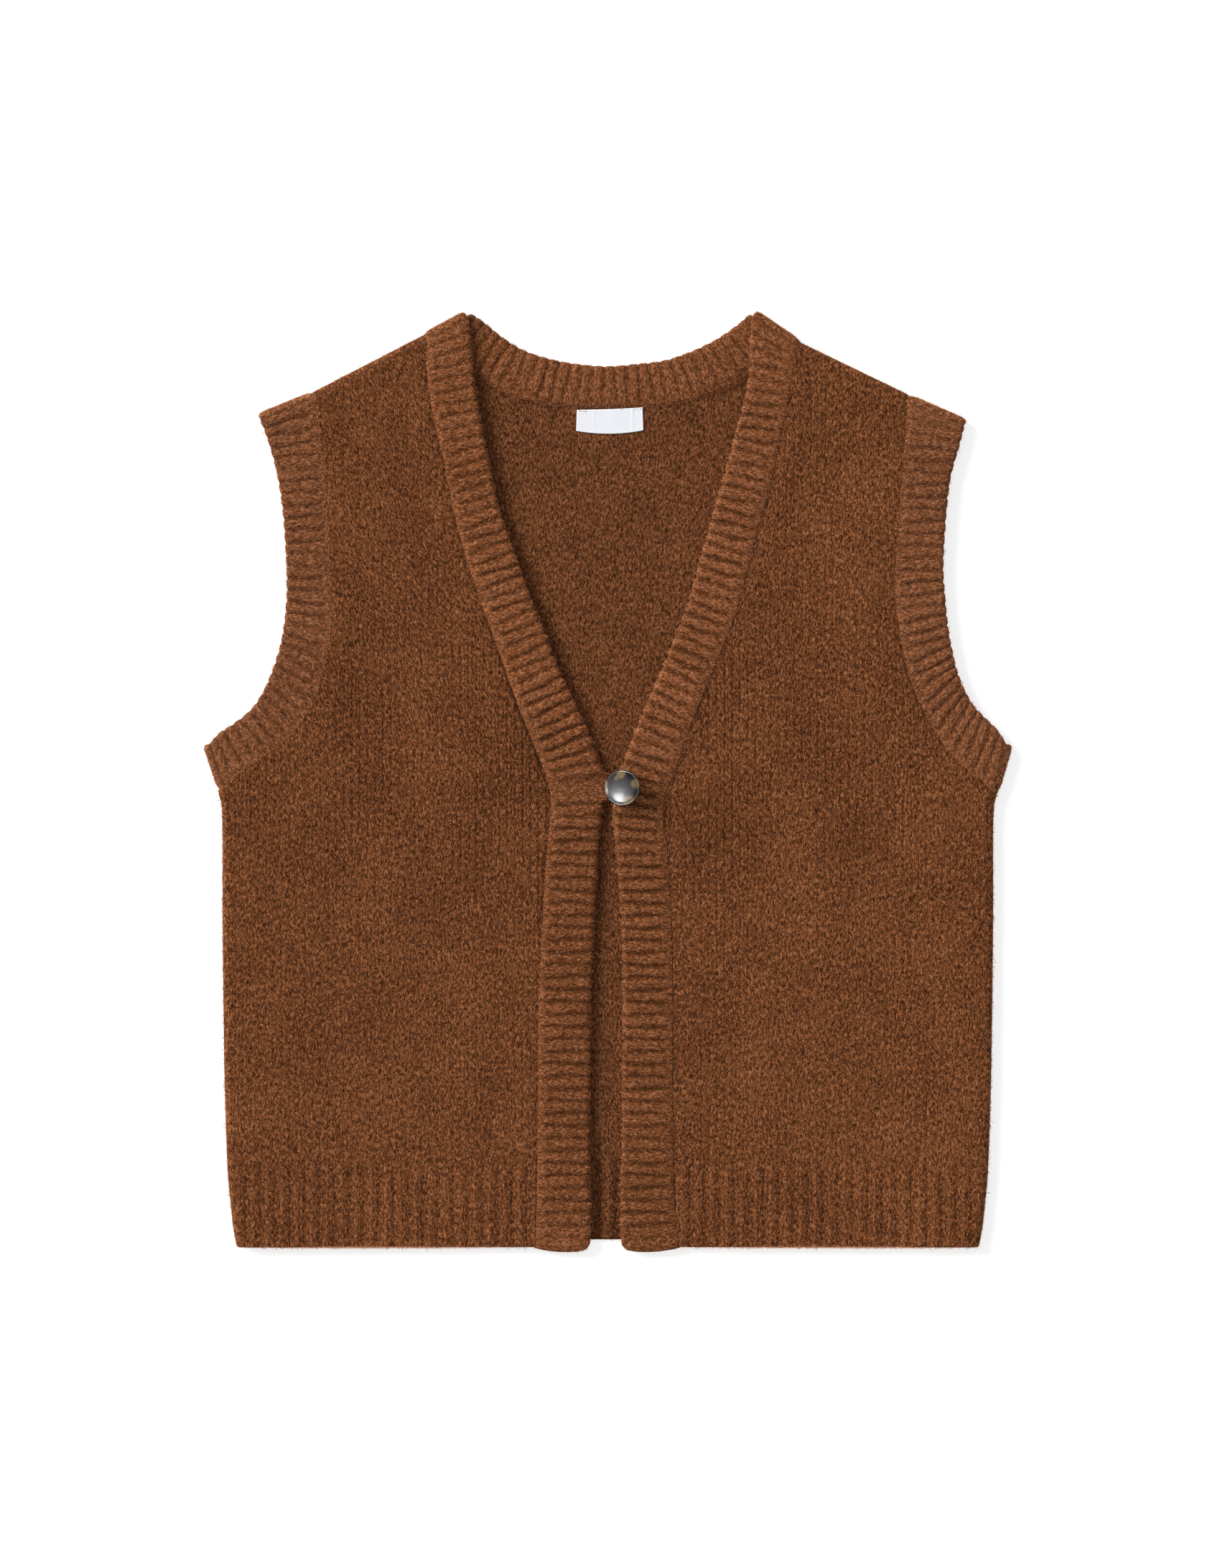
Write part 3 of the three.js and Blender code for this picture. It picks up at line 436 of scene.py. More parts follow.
def noise_on(tree, vector, stretch, scale, detail=2.0, roughness=0.5, turn=0.0, curl=0.0):
    mapping = add_node(tree, "ShaderNodeMapping", Vector=vector, Scale=stretch, Rotation=(0, 0, turn))
    made = add_node(
        tree, "ShaderNodeTexNoise",
        Vector=mapping.outputs[0], Scale=scale, Detail=detail, Roughness=roughness, Distortion=curl,
    )
    return made.outputs[0]


def weigh(tree, parts):
    total = None
    for socket, share in parts:
        scaled = add_node(tree, "ShaderNodeMath", {"operation": "MULTIPLY"}, i0=socket, i1=share).outputs[0]
        if total is None:
            total = scaled
        else:
            total = add_node(tree, "ShaderNodeMath", {"operation": "ADD"}, i0=total, i1=scaled).outputs[0]
    return total


def ramp_on(tree, value, stops):
    made = add_node(tree, "ShaderNodeValToRGB", Fac=value)
    elements = made.color_ramp.elements
    while len(elements) < len(stops):
        elements.new(0.5)
    for element, (place, colour) in zip(elements, stops):
        element.position = place
        element.color = colour
    return made.outputs[0]


# Brushed wool blend: a felted surface of curled flecks in several browns, with painted
# shade darkening it in the hollows.
def wool_yarn(name, dark, middle, light, painted_hollow_shade=0.075):
    yarn = bpy.data.materials.new(name)
    yarn.use_nodes = True
    tree = yarn.node_tree
    shader = tree.nodes["Principled BSDF"]
    knit = add_node(tree, "ShaderNodeAttribute", {"attribute_name": "knit"}).outputs["Vector"]
    hollow = add_node(tree, "ShaderNodeAttribute", {"attribute_name": "hollow"}).outputs["Fac"]
    fleck = noise_on(tree, knit, (1, 0.5, 1), 620, 2, 0.6, 0.14, 0.5)
    curl = noise_on(tree, knit, (1, 0.4, 1), 1150, 2, 0.6, -0.18, 1.1)
    hair = noise_on(tree, knit, (1, 0.25, 1), 2400, 1, 0.5, 0.2, 0.7)
    cloud = noise_on(tree, knit, (1, 0.7, 1), 28, 3, 0.6)
    # The hollow value takes tone away: painted shade in the hollows.
    tone = weigh(tree, [(fleck, 0.33), (curl, 0.39), (hair, 0.22), (cloud, 0.06), (hollow, -painted_hollow_shade)])
    stops = [(0.42, dark), (0.5, middle), (0.59, light)]
    tree.links.new(ramp_on(tree, tone, stops), shader.inputs["Base Color"])
    height = weigh(tree, [(fleck, 0.5), (curl, 0.5), (hair, 0.15)])
    bump = add_node(tree, "ShaderNodeBump", Height=height, Strength=0.9, Distance=0.0011)
    tree.links.new(bump.outputs[0], shader.inputs["Normal"])
    shader.inputs["Roughness"].default_value = 0.95
    shader.inputs["Specular IOR Level"].default_value = 0.03
    shader.inputs["Sheen Weight"].default_value = 0.6
    shader.inputs["Sheen Roughness"].default_value = 0.35
    shader.inputs["Sheen Tint"].default_value = tone_of(214, 140, 104)
    return yarn


# Tufts of the same wool, each in its own brown, and palest at the outline, where light comes
# through them.
def wool_fibre(name, dark, middle, light):
    wool = bpy.data.materials.new(name)
    wool.use_nodes = True
    tree = wool.node_tree
    shader = tree.nodes["Principled BSDF"]
    tone = add_node(tree, "ShaderNodeAttribute", {"attribute_name": "tone"}).outputs["Fac"]
    stops = [(0.05, dark), (0.45, middle), (0.8, light), (1.0, tone_of(232, 168, 126))]
    tree.links.new(ramp_on(tree, tone, stops), shader.inputs["Base Color"])
    shader.inputs["Roughness"].default_value = 0.95
    shader.inputs["Specular IOR Level"].default_value = 0.02
    shader.inputs["Sheen Weight"].default_value = 0.5
    shader.inputs["Sheen Tint"].default_value = tone_of(214, 140, 104)
    return wool


inside_yarn = wool_yarn("wool_inside", tone_of(44, 25, 12), tone_of(89, 52, 29), tone_of(139, 87, 56))
body_fibre = wool_fibre("wool_fibre", tone_of(61, 36, 18), tone_of(115, 67, 39), tone_of(170, 112, 74))


# The line along the top of the back, from shoulder tip to shoulder tip. Its rows: x, y, the
# way out over the fold, and 1 where the cloth turns up over the shoulder.
def back_top_line():
    line = []

    def shoulder(armhole, section, shares):
        tip, neck = beside_band(armhole[-1]), beside_band(section, neck_corner_gap)
        for share in shares:
            outward = fold_outward(armhole[-1]) * (1 - share) + fold_outward(section) * share
            spot = tip * (1 - share) + neck * share
            line.append((*spot, *(outward / np.linalg.norm(outward)), 1))

    shoulder(armhole_left, back_neck[0], np.linspace(0, 1, shoulder_points))
    neck_steps = 90
    for step in range(neck_steps + 1):
        section = between(back_neck, step / neck_steps * (len(back_neck) - 1))
        spot = beside_band(section, seam_gap + neck_seam_room)
        outward = section[[edge_x, edge_y]] - spot
        line.append((*spot, *(outward / np.linalg.norm(outward)), 0))
    shoulder(armhole_right, back_neck[-1], np.linspace(1, 0, shoulder_points))
    return np.array(line)


# Cloth round a side fold, from the seam at its outermost line to the flat cloth.
fold_angles = [seam_stop * step / fold_steps for step in range(fold_steps + 1)]


def side_fold_line(start, side, facing, wall, face):
    line = []
    for angle in fold_angles[:0:-1]:
        reach = fold_radius + face * wall / 2
        x = start[0] + side * reach * math.sin(angle)
        line.append((x, start[1], fold_axis_z + facing * reach * math.cos(angle)))
    return line


# Rows of the back over its shoulder folds and into the neck seam.
def back_top_rows(top, columns):
    first_x, last_x = top[0, 0], top[-1, 0]
    between_ends = (columns > first_x + column_clearance) & (columns < last_x - column_clearance)
    x = np.concatenate([[first_x], columns[between_ends], [last_x]])
    share = (x - first_x) / (last_x - first_x)
    top_shares = (top[:, 0] - first_x) / (last_x - first_x)
    keys = np.concatenate([[-9.0], x[1:-1], [9.0]])
    y, out_x, out_y, folded = (np.interp(share, top_shares, top[:, column]) for column in (1, 2, 3, 4))
    rows = []
    for step, angle in enumerate(fold_angles[1:]):
        reach = fold_radius * np.sin(angle) * folded + (1 - folded) * 0.00011 * (step + 1)
        turn = folded * angle
        lines = []
        for face in (1, -1):
            wall = knit_wall * (1 - 0.25 * (1 - folded) * (step + 1) / fold_steps)
            half = face * wall / 2
            line = np.column_stack([
                x + out_x * (reach + half * np.sin(turn)),
                y + out_y * (reach + half * np.sin(turn)),
                fold_axis_z - fold_radius * np.cos(turn) - half * np.cos(turn),
            ])
            lines.append((keys, line, knit_places(x, y + fold_radius * angle * folded)))
        rows.append(lines)
    return rows


def back_rows():
    top = back_top_line()
    first_x, last_x = top[0, 0], top[-1, 0]
    top_shares = (top[:, 0] - first_x) / (last_x - first_x)
    columns = np.arange(-96, 97) * wale / 2
    corner_rows = [shoulder_points - 1, shoulder_points, -shoulder_points - 1, -shoulder_points]
    corners = top[corner_rows, 0]
    near_corner = np.abs(columns[:, None] - corners[None]).min(axis=1) < wale / 8
    columns = np.sort(np.concatenate([columns[~near_corner], corners]))
    random = np.random.default_rng(11)
    left_heights = row_heights(back_hem_y, -1, course)
    right_heights = row_heights(back_hem_y, 1, course)
    rows = []
    felt = random.random((len(left_heights), len(columns)))
    felt[1:] = 0.6 * felt[1:] + 0.4 * felt[:-1]
    for index, (left_height, right_height) in enumerate(zip(left_heights, right_heights)):
        left, folded = outer_edge(-1, back_hem_y, left_height)
        right, _ = outer_edge(1, back_hem_y, right_height)
        past_left = columns > left[0] + column_clearance
        inside_columns = past_left & (columns < right[0] - column_clearance)
        x = np.concatenate([[left[0]], columns[inside_columns], [right[0]]])
        share = (x - left[0]) / (right[0] - left[0])
        weight = min(max((left[1] - 0.1) / (top[0, 1] - 0.1), 0), 1) ** 2
        chord = top[0, 1] * (1 - share) + top[-1, 1] * share
        y = left[1] * (1 - share) + right[1] * share
        y = y + weight * (np.interp(share, top_shares, top[:, 1]) - chord)
        from_hem = left[1] - back_hem_y
        wall = wall_from_edge(from_hem)
        in_ribs = min(max((hem_height - from_hem) / 0.008, 0), 1)
        groove = in_ribs * (1 - hem_rib(x))
        rough = np.concatenate([[0.5], felt[index][inside_columns], [0.5]])
        pebbles = pebble_height * (rough + 0.5 * np.cos(np.pi * index)) * (1 - 0.6 * in_ribs)
        top_z = (knit_wall + wall) / 2 - 0.0007 * groove - pebbles
        bottom_z = (knit_wall - wall) / 2 + 0.0008 * groove
        keys = np.concatenate([[-9.0], columns[inside_columns], [9.0]])
        lines = []
        # The hem's rib grooves are coloured darker on both faces, painted shade. On the upper face the tone
        # also follows the random felt.
        groove_shade = 0.5 * groove
        for z, face, hollow in ((bottom_z, 1, groove_shade), (top_z, -1, np.maximum(groove_shade, 0.4 - rough))):
            line = np.column_stack([x, y, z])
            places = knit_places(x, y, hollow)
            line_keys = keys
            if folded:
                before = np.array(side_fold_line(left, -1, -1, wall, face))
                after = np.array(side_fold_line(right, 1, -1, wall, face))[::-1]
                line = np.concatenate([before, line, after])
                first_keys, last_keys = np.arange(-20, -20 + fold_steps), np.arange(10, 10 + fold_steps)
                line_keys = np.concatenate([first_keys, keys, last_keys])
                round_fold = fold_radius * np.array(fold_angles[:0:-1])
                places = np.concatenate([
                    knit_places(left[0] - round_fold, before[:, 1]),
                    places,
                    knit_places(right[0] + round_fold[::-1], after[:, 1]),
                ])
            lines.append((line_keys, line, places))
        rows.append(lines)
    return rows + back_top_rows(top, columns)


back_shell = cloth_shell(back_rows())
back = cloth_piece("back_panel", back_shell, inside_yarn, 0)
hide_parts("back")


# Tufts grow where the inside of the back shows, in the neck opening and between the fronts,
# and along its outline. Under the fronts there are few.
def where_back_shows(spots):
    x, y = spots[:, 0], spots[:, 1]
    half_opening = np.clip((y + 0.02) * 0.36, 0.012, 0.13) + 0.006
    outline = (np.abs(x) > 0.255) | (y < -0.312)
    return np.where((np.abs(x) < half_opening) | outline, 1.0, 0.004)


back_fuzz = fuzz_piece("back_fuzz", back_shell, 9000, 21, body_fibre, 0.0036, 0.16, 1.2, where_back_shows)

# Left and right fronts
# Each is knitted like the back, shaped along the armhole and the sloping neck, with its own
# ribbed hem. It lies on the back, is joined to it at the side and shoulder seams, and rises
# over the folds there. Soft folds run from the underarms and beside the button.
layer_gap = 0.0004
front_hem_y = -0.3235
hem_rib_rise = 0.00045
neck_band_wall = 0.0048
stitch_height = 0.00045
felt_height = 0.00035
# Close to a seam the cloth is rounded and keeps clear of the columns of stitches.
seam_rounding = 0.0022
# How far from a fold and from the neck band the cloth starts to rise.
fold_reach, leg_reach = 0.08, 0.03
under_points = 15

# Front legs of the neck band: seam x, seam y, free edge x, free edge y, height of the
# underside, and how much higher that is at the free edge.
left_leg = np.array([
    (-0.0505, -0.3240, -0.0125, -0.3268, 0.0034, 0),
    (-0.0493, -0.3000, -0.0118, -0.3000, 0.0034, 0),
    (-0.0483, -0.2350, -0.0128, -0.2350, 0.0034, 0.0003),
    (-0.0478, -0.1550, -0.0118, -0.1550, 0.0034, 0.0003),
    (-0.0460, -0.1120, -0.0105, -0.1120, 0.0034, 0.0003),
    (-0.0435, -0.0680, -0.0083, -0.0700, 0.0034, 0.0004),
    (-0.0410, -0.0380, -0.0063, -0.0380, 0.0034, 0),
    (-0.0393, -0.0140, -0.0032, -0.0120, 0.0034, 0),
    (-0.0413, 0.0000, -0.0026, 0.0040, 0.0034, 0),
    (-0.0460, 0.0140, -0.0100, 0.0260, 0.0034, 0),
    (-0.0555, 0.0375, -0.0220, 0.0535, 0.0034, 0.0018),
    (-0.0675, 0.0685, -0.0355, 0.0825, 0.0034, 0.0026),
    (-0.0790, 0.1015, -0.0475, 0.1135, 0.0034, 0.0030),
    (-0.0885, 0.1275, -0.0575, 0.1385, 0.0034, 0.0030),
    (-0.0976, 0.1540, -0.0665, 0.1640, 0.0034, 0.0030),
    (-0.1065, 0.1870, -0.0770, 0.1960, 0.0036, 0.0027),
    (-0.1130, 0.2200, -0.0837, 0.2280, 0.0042, 0.0022),
    (-0.1190, 0.2450, -0.0885, 0.2510, 0.0050, 0.0016),
    (-0.1235, 0.2690, -0.0922, 0.2745, 0.0058, 0.0004),
    (-0.1263, 0.2910, -0.0950, 0.3000, 0.0060, 0),
    (-0.1257, 0.3078, -0.0975, 0.3230, 0.0060, 0),
])
right_leg = np.array([
    (0.1315, 0.3028, 0.1005, 0.3240, 0.0060, 0),
    (0.1290, 0.2870, 0.0988, 0.2970, 0.0060, 0),
    (0.1260, 0.2690, 0.0968, 0.2730, 0.0058, 0.0004),
    (0.1210, 0.2450, 0.0910, 0.2495, 0.0050, 0.0005),
    (0.1140, 0.2120, 0.0825, 0.2190, 0.0042, 0.0002),
    (0.1050, 0.1780, 0.0733, 0.1860, 0.0036, 0),
    (0.0955, 0.1410, 0.0635, 0.1515, 0.0034, 0),
    (0.0865, 0.1110, 0.0550, 0.1220, 0.0034, 0),
    (0.0730, 0.0780, 0.0430, 0.0910, 0.0034, 0),
    (0.0570, 0.0385, 0.0265, 0.0525, 0.0034, 0.0006),
    (0.0460, 0.0055, 0.0120, 0.0170, 0.0036, 0.0028),
    (0.0395, -0.0090, 0.0060, -0.0020, 0.0036, 0.0037),
    (0.0385, -0.0280, 0.0040, -0.0230, 0.0036, 0.0028),
    (0.0413, -0.0480, 0.0060, -0.0470, 0.0034, 0.0012),
    (0.0435, -0.0880, 0.0095, -0.0880, 0.0034, 0),
    (0.0448, -0.1250, 0.0106, -0.1250, 0.0034, 0),
    (0.0452, -0.2350, 0.0103, -0.2350, 0.0034, 0),
    (0.0465, -0.2900, 0.0090, -0.2900, 0.0034, 0),
    (0.0495, -0.3238, 0.0095, -0.3268, 0.0034, 0),
])
# Soft folds: middle x and y, direction of the ridge in degrees, half length, half width, rise.
soft_folds = [
    (-0.205, -0.018, 35, 0.055, 0.017, 0.0010),
    (-0.150, -0.070, 78, 0.080, 0.022, 0.0012),
    (-0.084, 0.004, -14, 0.036, 0.010, 0.0020),
    (-0.150, 0.190, 62, 0.060, 0.016, 0.0010),
    (-0.096, -0.190, 84, 0.075, 0.018, 0.0010),
    (0.210, -0.024, -38, 0.050, 0.015, 0.0015),
    (0.150, -0.096, -80, 0.085, 0.022, 0.0012),
    (0.080, 0.004, 14, 0.034, 0.011, 0.0013),
    (0.152, 0.176, -58, 0.055, 0.016, 0.0010),
    (0.110, -0.215, -86, 0.070, 0.018, 0.0009),
]


def soft_fold_height(x, y):
    height = 0
    for middle_x, middle_y, degrees, half_length, half_width, rise in soft_folds:
        turn = math.radians(degrees)
        along = (x - middle_x) * math.cos(turn) + (y - middle_y) * math.sin(turn)
        across = (y - middle_y) * math.cos(turn) - (x - middle_x) * math.sin(turn)
        height = height + rise * np.exp(-((along / half_length) ** 2) - (across / half_width) ** 2)
    return height


# Slow unevenness of cloth that was pressed by hand and has lain, from -1 to 1.
def uneven(x, y, turn=0.0):
    waves = ((71, 0.4, 0.3), (46, 1.9, 1.7), (33, 2.6, 4.0), (97, 1.2, 2.2), (58, -0.7, 5.1))
    total = 0
    for count, direction, start in waves:
        along = x * math.cos(direction + turn) + y * math.sin(direction + turn)
        total = total + np.sin(count * along + start + turn)
    return total / len(waves)


# The wales show best across the middle of the fronts. Towards the shoulder the left front was
# brushed aslant.
wale_band_y, wale_band_half = 0.015, 0.09
# A wale takes four columns of points: the groove beside it, one leg of its stitches, the
# shallow middle, and the other leg.
wale_columns = np.array([0.0, 0.9, 0.5, 0.9])
lean_start_y, lean_per_length = 0.0, 0.32


def brushed_lean(side, y):
    past = np.maximum(y - lean_start_y, 0)
    return lean_per_length * past * past / (past + 0.06) if side < 0 else 0 * past


# 1 at a distance of 0, falling smoothly to 0 at the reach.
def fall_off(distance, reach):
    return (1 + np.cos(np.pi * np.clip(distance / reach, 0, 1))) / 2


# How thick the cloth is near a seam, as a share of its wall.
def rounded_at_seam(distance):
    return 0.94 + 0.06 * np.sqrt(1 - (1 - np.clip(distance / seam_rounding, 0, 1)) ** 2)


# How high the knitting of one row stands and how much painted shade its hollows get: ribs
# at the hem, and wales of felted stitches above it, which show less where they were brushed
# more. The rib grooves get painted shade and their crests painted light, and the very edge
# of the hem is painted paler, a painted glow of light coming through it.
def front_knitting(x, y, from_leg, from_hem, legs, rough, index):
    in_ribs = min(max((hem_height - from_hem) / 0.01, 0), 1) * min(from_hem / 0.0012, 1)
    ribs = in_ribs * (hem_rib(x) * 1.5 - 0.5) * hem_rib_rise
    stitch_wave = 0.75 + 0.25 * np.cos(np.pi * index + 0.9 * rough)
    relief = stitch_height * legs * stitch_wave + felt_height * (rough - 0.5)
    relief = relief * (1 - 0.8 * in_ribs)
    at_height = 0.35 + 0.65 * np.exp(-(((y - wale_band_y) / wale_band_half) ** 2))
    beside_leg = 0.6 + 0.5 * fall_off(from_leg, 0.09)
    shown = np.clip(0.6 + 0.8 * uneven(1.7 * x, 0.7 * y, 0.8), 0.25, 1) * at_height * beside_leg
    # Painted shade in the grooves between the legs of the wales.
    painted_shade_between_legs = (1 - legs) ** 1.5 * np.clip(1.9 * rough, 0, 1.3) * shown
    # Painted shade in the hem's rib grooves and painted light on their crests.
    rib_light_and_shade = in_ribs * (0.3 - 0.5 * hem_rib(x))
    # The hem's very edge is painted paler: a painted glow of light coming through it.
    painted_glow_at_hem = 0.8 * max(1 - from_hem / 0.0016, 0)
    return relief + ribs, painted_shade_between_legs * (1 - 0.9 * in_ribs) + rib_light_and_shade - painted_glow_at_hem


# Rows of a front over its shoulder fold, down to the seam.
def front_shoulder_rows(tip_section, neck_section, x, keys, few):
    tip, neck = beside_band(tip_section), beside_band(neck_section)
    few_x = tip[0] * (1 - few) + neck[0] * few
    rows = []
    for angle in fold_angles[1:]:
        lines = []
        for face, line_x, line_keys in ((1, x, keys), (-1, few_x, few)):
            share = (line_x - tip[0]) / (neck[0] - tip[0])
            share_down = share[:, None]
            outward = fold_outward(tip_section) * (1 - share_down) + fold_outward(neck_section) * share_down
            outward /= np.linalg.norm(outward, axis=1)[:, None]
            spot = tip * (1 - share_down) + neck * share_down
            near = np.minimum(share, 1 - share) * math.dist(tip, neck)
            half = face * knit_wall / 2 * rounded_at_seam(near)
            reach = fold_radius * math.sin(angle) + half * math.sin(angle)
            line = np.column_stack([
                spot[:, 0] + outward[:, 0] * reach,
                spot[:, 1] + outward[:, 1] * reach,
                fold_axis_z + (fold_radius + half) * math.cos(angle),
            ])
            lines.append((line_keys, line, knit_places(line_x, spot[:, 1] + fold_radius * angle)))
        rows.append(lines)
    return rows


def front_rows(side):
    armhole = armhole_of(side)
    leg = left_leg if side < 0 else right_leg
    shoulder_end = leg[-1] if side < 0 else leg[0]
    tip_y, neck_y = armhole[-1][seam_y], shoulder_end[seam_y]
    rest_z = knit_wall + layer_gap + knit_wall / 2
    fold_z = fold_axis_z + fold_radius
    edge_steps = np.array([0, 0.0006, 0.0014])
    spacing = wale / 4
    columns = np.arange(1, 200)
    column_x = side * (0.270 - columns * spacing)
    random = np.random.default_rng(31 + side)
    heights = row_heights(front_hem_y, side, course / 2)
    felt = random.random((len(heights), len(columns)))
    felt[1:] = 0.55 * felt[1:] + 0.45 * felt[:-1]
    few = np.linspace(0, 1, under_points)
    rows = []
    for index, height in enumerate(heights):
        outer, folded = outer_edge(side, front_hem_y, height)
        stretch = fall_off(tip_y - outer[1], tip_y - 0.08)
        inner_y = min(outer[1] + (neck_y - tip_y) * stretch, neck_y)
        section = between(leg, place_of(leg, seam_y, max(inner_y, front_hem_y)))
        inner = beside_band(section)
        width = math.dist(outer, inner)
        seam_z = max(section[low_z] + neck_band_wall / 2 - 0.0003, rest_z)
        from_hem = outer[1] - front_hem_y
        wall = wall_from_edge(from_hem)
        from_outer, from_inner = side * (outer[0] - column_x), side * (column_x - inner[0])
        chosen = (from_outer > seam_rounding) & (from_inner > seam_rounding)
        run = side * (outer[0] - inner[0])
        first_steps = [0] if folded else edge_steps
        x = np.concatenate([
            [outer[0] - side * step * run / width for step in first_steps],
            column_x[chosen],
            [inner[0] + side * step * run / width for step in edge_steps[::-1]],
        ])
        keys = np.concatenate([
            [-3.0] if folded else [-3.0, -2.0, -1.0],
            columns[chosen] * spacing,
            [7.0, 8.0, 9.0],
        ])
        share = (x - outer[0]) / (inner[0] - outer[0])
        y = outer[1] * (1 - share) + inner[1] * share
        to_neck = (x - armhole[-1][seam_x]) / (shoulder_end[seam_x] - armhole[-1][seam_x])
        shoulder_y = tip_y + to_neck * (neck_y - tip_y)
        lifts = [
            (fold_z - rest_z) * fall_off(share * width, fold_reach),
            (seam_z - rest_z) * fall_off((1 - share) * width, leg_reach),
            (fold_z - rest_z) * fall_off(shoulder_y - y, fold_reach),
        ]
        rise = sum(lift ** 4 for lift in lifts) ** 0.25
        away = np.minimum(np.minimum(share, 1 - share), 0.12) / 0.12
        middle_z = rest_z + rise + (1.3 * soft_fold_height(x, y) + 0.0005 * (1 + uneven(x, y))) * away
        legs = np.zeros(len(x))
        rough = np.full(len(x), 0.5)
        start = len(first_steps)
        legs[start:start + chosen.sum()] = wale_columns[columns[chosen] % 4]
        rough[start:start + chosen.sum()] = felt[index][chosen]
        relief, hollow = front_knitting(x, y, (1 - share) * width, from_hem, legs, rough, index)
        at_seam = np.minimum(1 - share if folded else np.minimum(share, 1 - share), 1) * width
        round_edge = rounded_at_seam(at_seam)
        top_z = middle_z + wall / 2 * round_edge + relief * round_edge
        outer_line = np.column_stack([x, y, top_z])
        places = knit_places(x + brushed_lean(side, y), y, hollow)
        few_x = outer[0] * (1 - few) + inner[0] * few
        under_z = np.interp(few, share, middle_z) - wall / 2 * np.interp(few, share, round_edge)
        inner_line = np.column_stack([few_x, outer[1] * (1 - few) + inner[1] * few, under_z])
        inner_places = knit_places(*inner_line[:, :2].T)
        inner_keys = few
        if folded:
            over = np.array(side_fold_line(outer, side, 1, wall, 1))
            under = np.array(side_fold_line(outer, side, 1, wall, -1))
            outer_line = np.concatenate([over, outer_line])
            inner_line = np.concatenate([under, inner_line])
            round_fold = fold_radius * np.array(fold_angles[:0:-1])
            folded_places = knit_places(outer[0] + side * round_fold, over[:, 1])
            places = np.concatenate([folded_places, places])
            inner_places = np.concatenate([folded_places, inner_places])
            keys = np.concatenate([np.arange(-20, -20 + fold_steps), keys])
            inner_keys = np.concatenate([np.arange(-20, -20 + fold_steps), inner_keys])
        rows.append([(keys, outer_line, places), (inner_keys, inner_line, inner_places)])
    return rows + front_shoulder_rows(armhole[-1], shoulder_end, x, keys, few)


body_yarn = wool_yarn("wool_plain", tone_of(46, 26, 13), tone_of(95, 54, 30), tone_of(150, 96, 60))
for side, word in ((-1, "left"), (1, "right")):
    shell = cloth_shell(front_rows(side))
    front = cloth_piece(f"front_panel_{word}", shell, body_yarn, 2 + side)
    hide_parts(f"front_{word}")
    fuzz = fuzz_piece(f"front_fuzz_{word}", shell, 25000, 40 + side, body_fibre)

# Neck and front band
# One long doubled rib, knitted sideways and linked on: up one front edge, over the shoulder,
# round the back neck, over the other shoulder and down the other front edge. Its right leg
# has the buttonhole. Its left leg reaches under it and carries the button.
neck_rib_pitch = 0.0086
neck_rib_rise = 0.0006
rib_groove = 0.00085
# A groove of this depth gets the darkest painted shade.
groove_of_darkest_shade = 0.001
steps_per_rib = 8
back_rib_groove = 0.0004
button_y = -0.0032
# How deep the ribs are at heights up each leg, and how much paler the wool is coloured
# there.
leg_heights = (-0.29, -0.2, -0.12, -0.05, 0.0, 0.04, 0.11, 0.18, 0.22, 0.27, 0.31)
left_depths = (0.9, 0.95, 1.1, 1.1, 1.0, 1.0, 1.0, 0.85, 0.7, 0.6, 0.45)
right_depths = (1.0, 1.05, 1.15, 1.25, 1.4, 1.4, 1.45, 1.35, 1.05, 0.85, 0.8)
left_pale = (0, 0, -0.1, 0, 0, 0.15, 0.08, 0.12, 0.0, 0.15, 0.35)
right_pale = (-0.1, 0, 0, 0.1, 0.3, 0.36, 0.38, 0.36, 0.3, 0.28, 0.28)
tab_reach = 0.0175
tab_half_height = 0.008
tab_thinning = 0.0024
end_corner = 0.0075
end_bow = 0.0016
plain_end = 0.02
# Across a band: share of its width, share of its half wall, and share of the rib's rise.
band_outer_profile = np.array([
    (0, 0.6, 0),
    (0.015, 0.68, 0),
    (0.04, 0.8, 0.05),
    (0.08, 0.92, 0.2),
    (0.125, 1, 0.6),
    (0.17, 1, 0.95),
    (0.23, 1, 1),
    (0.32, 1, 1),
    (0.41, 1, 1),
    (0.5, 1, 1),
    (0.59, 1, 1),
    (0.68, 1, 1),
    (0.77, 1, 1),
    (0.86, 1, 1),
    (0.925, 0.97, 0.9),
    (0.968, 0.8, 0.7),
    (0.992, 0.5, 0.5),
    (1, 0.1, 0.4),
])
band_inner_profile = np.array([(0.015, 0.9, 1), (0.3, 1, 1), (0.62, 1, 1), (0.93, 0.97, 1), (0.98, 0.6, 1)])
back_neck_profile = np.array([
    (0.004, 0.3, 0),
    (0.04, 0.48, 0.1),
    (0.1, 0.7, 0.4),
    (0.18, 0.88, 0.75),
    (0.3, 1, 1),
    (0.45, 1, 1),
    (0.62, 1, 1),
    (0.8, 1, 1),
    (0.93, 0.97, 1),
    (0.98, 0.6, 1),
])


# Places along a strip of rib, with how far along it and through its ribs each one is.
def strip_places(strip, pitch):
    steps = 600
    places = np.linspace(0, len(strip) - 1, steps + 1)
    sections = np.array([between(strip, place) for place in places])
    middle = (sections[:, [seam_x, seam_y]] + sections[:, [edge_x, edge_y]]) / 2
    lengths = np.concatenate([[0], np.cumsum(np.linalg.norm(np.diff(middle, axis=0), axis=1))])
    ribs = round(lengths[-1] / pitch)
    wanted = np.linspace(0, 1, ribs * steps_per_rib + 1)
    return np.interp(wanted * lengths[-1], lengths, places), wanted * lengths[-1], wanted * ribs


# One run of draws gives the felt of all the bands.
band_felt = np.random.default_rng(50)


# A soft rib: 1 along its crest and 0 in the groove beside it, at a place in ribs.
def rib_shape(place):
    part = np.clip((np.abs(np.sin(np.pi * place)) - 0.12) / 0.72, 0, 1)
    return part * part * (3 - 2 * part)


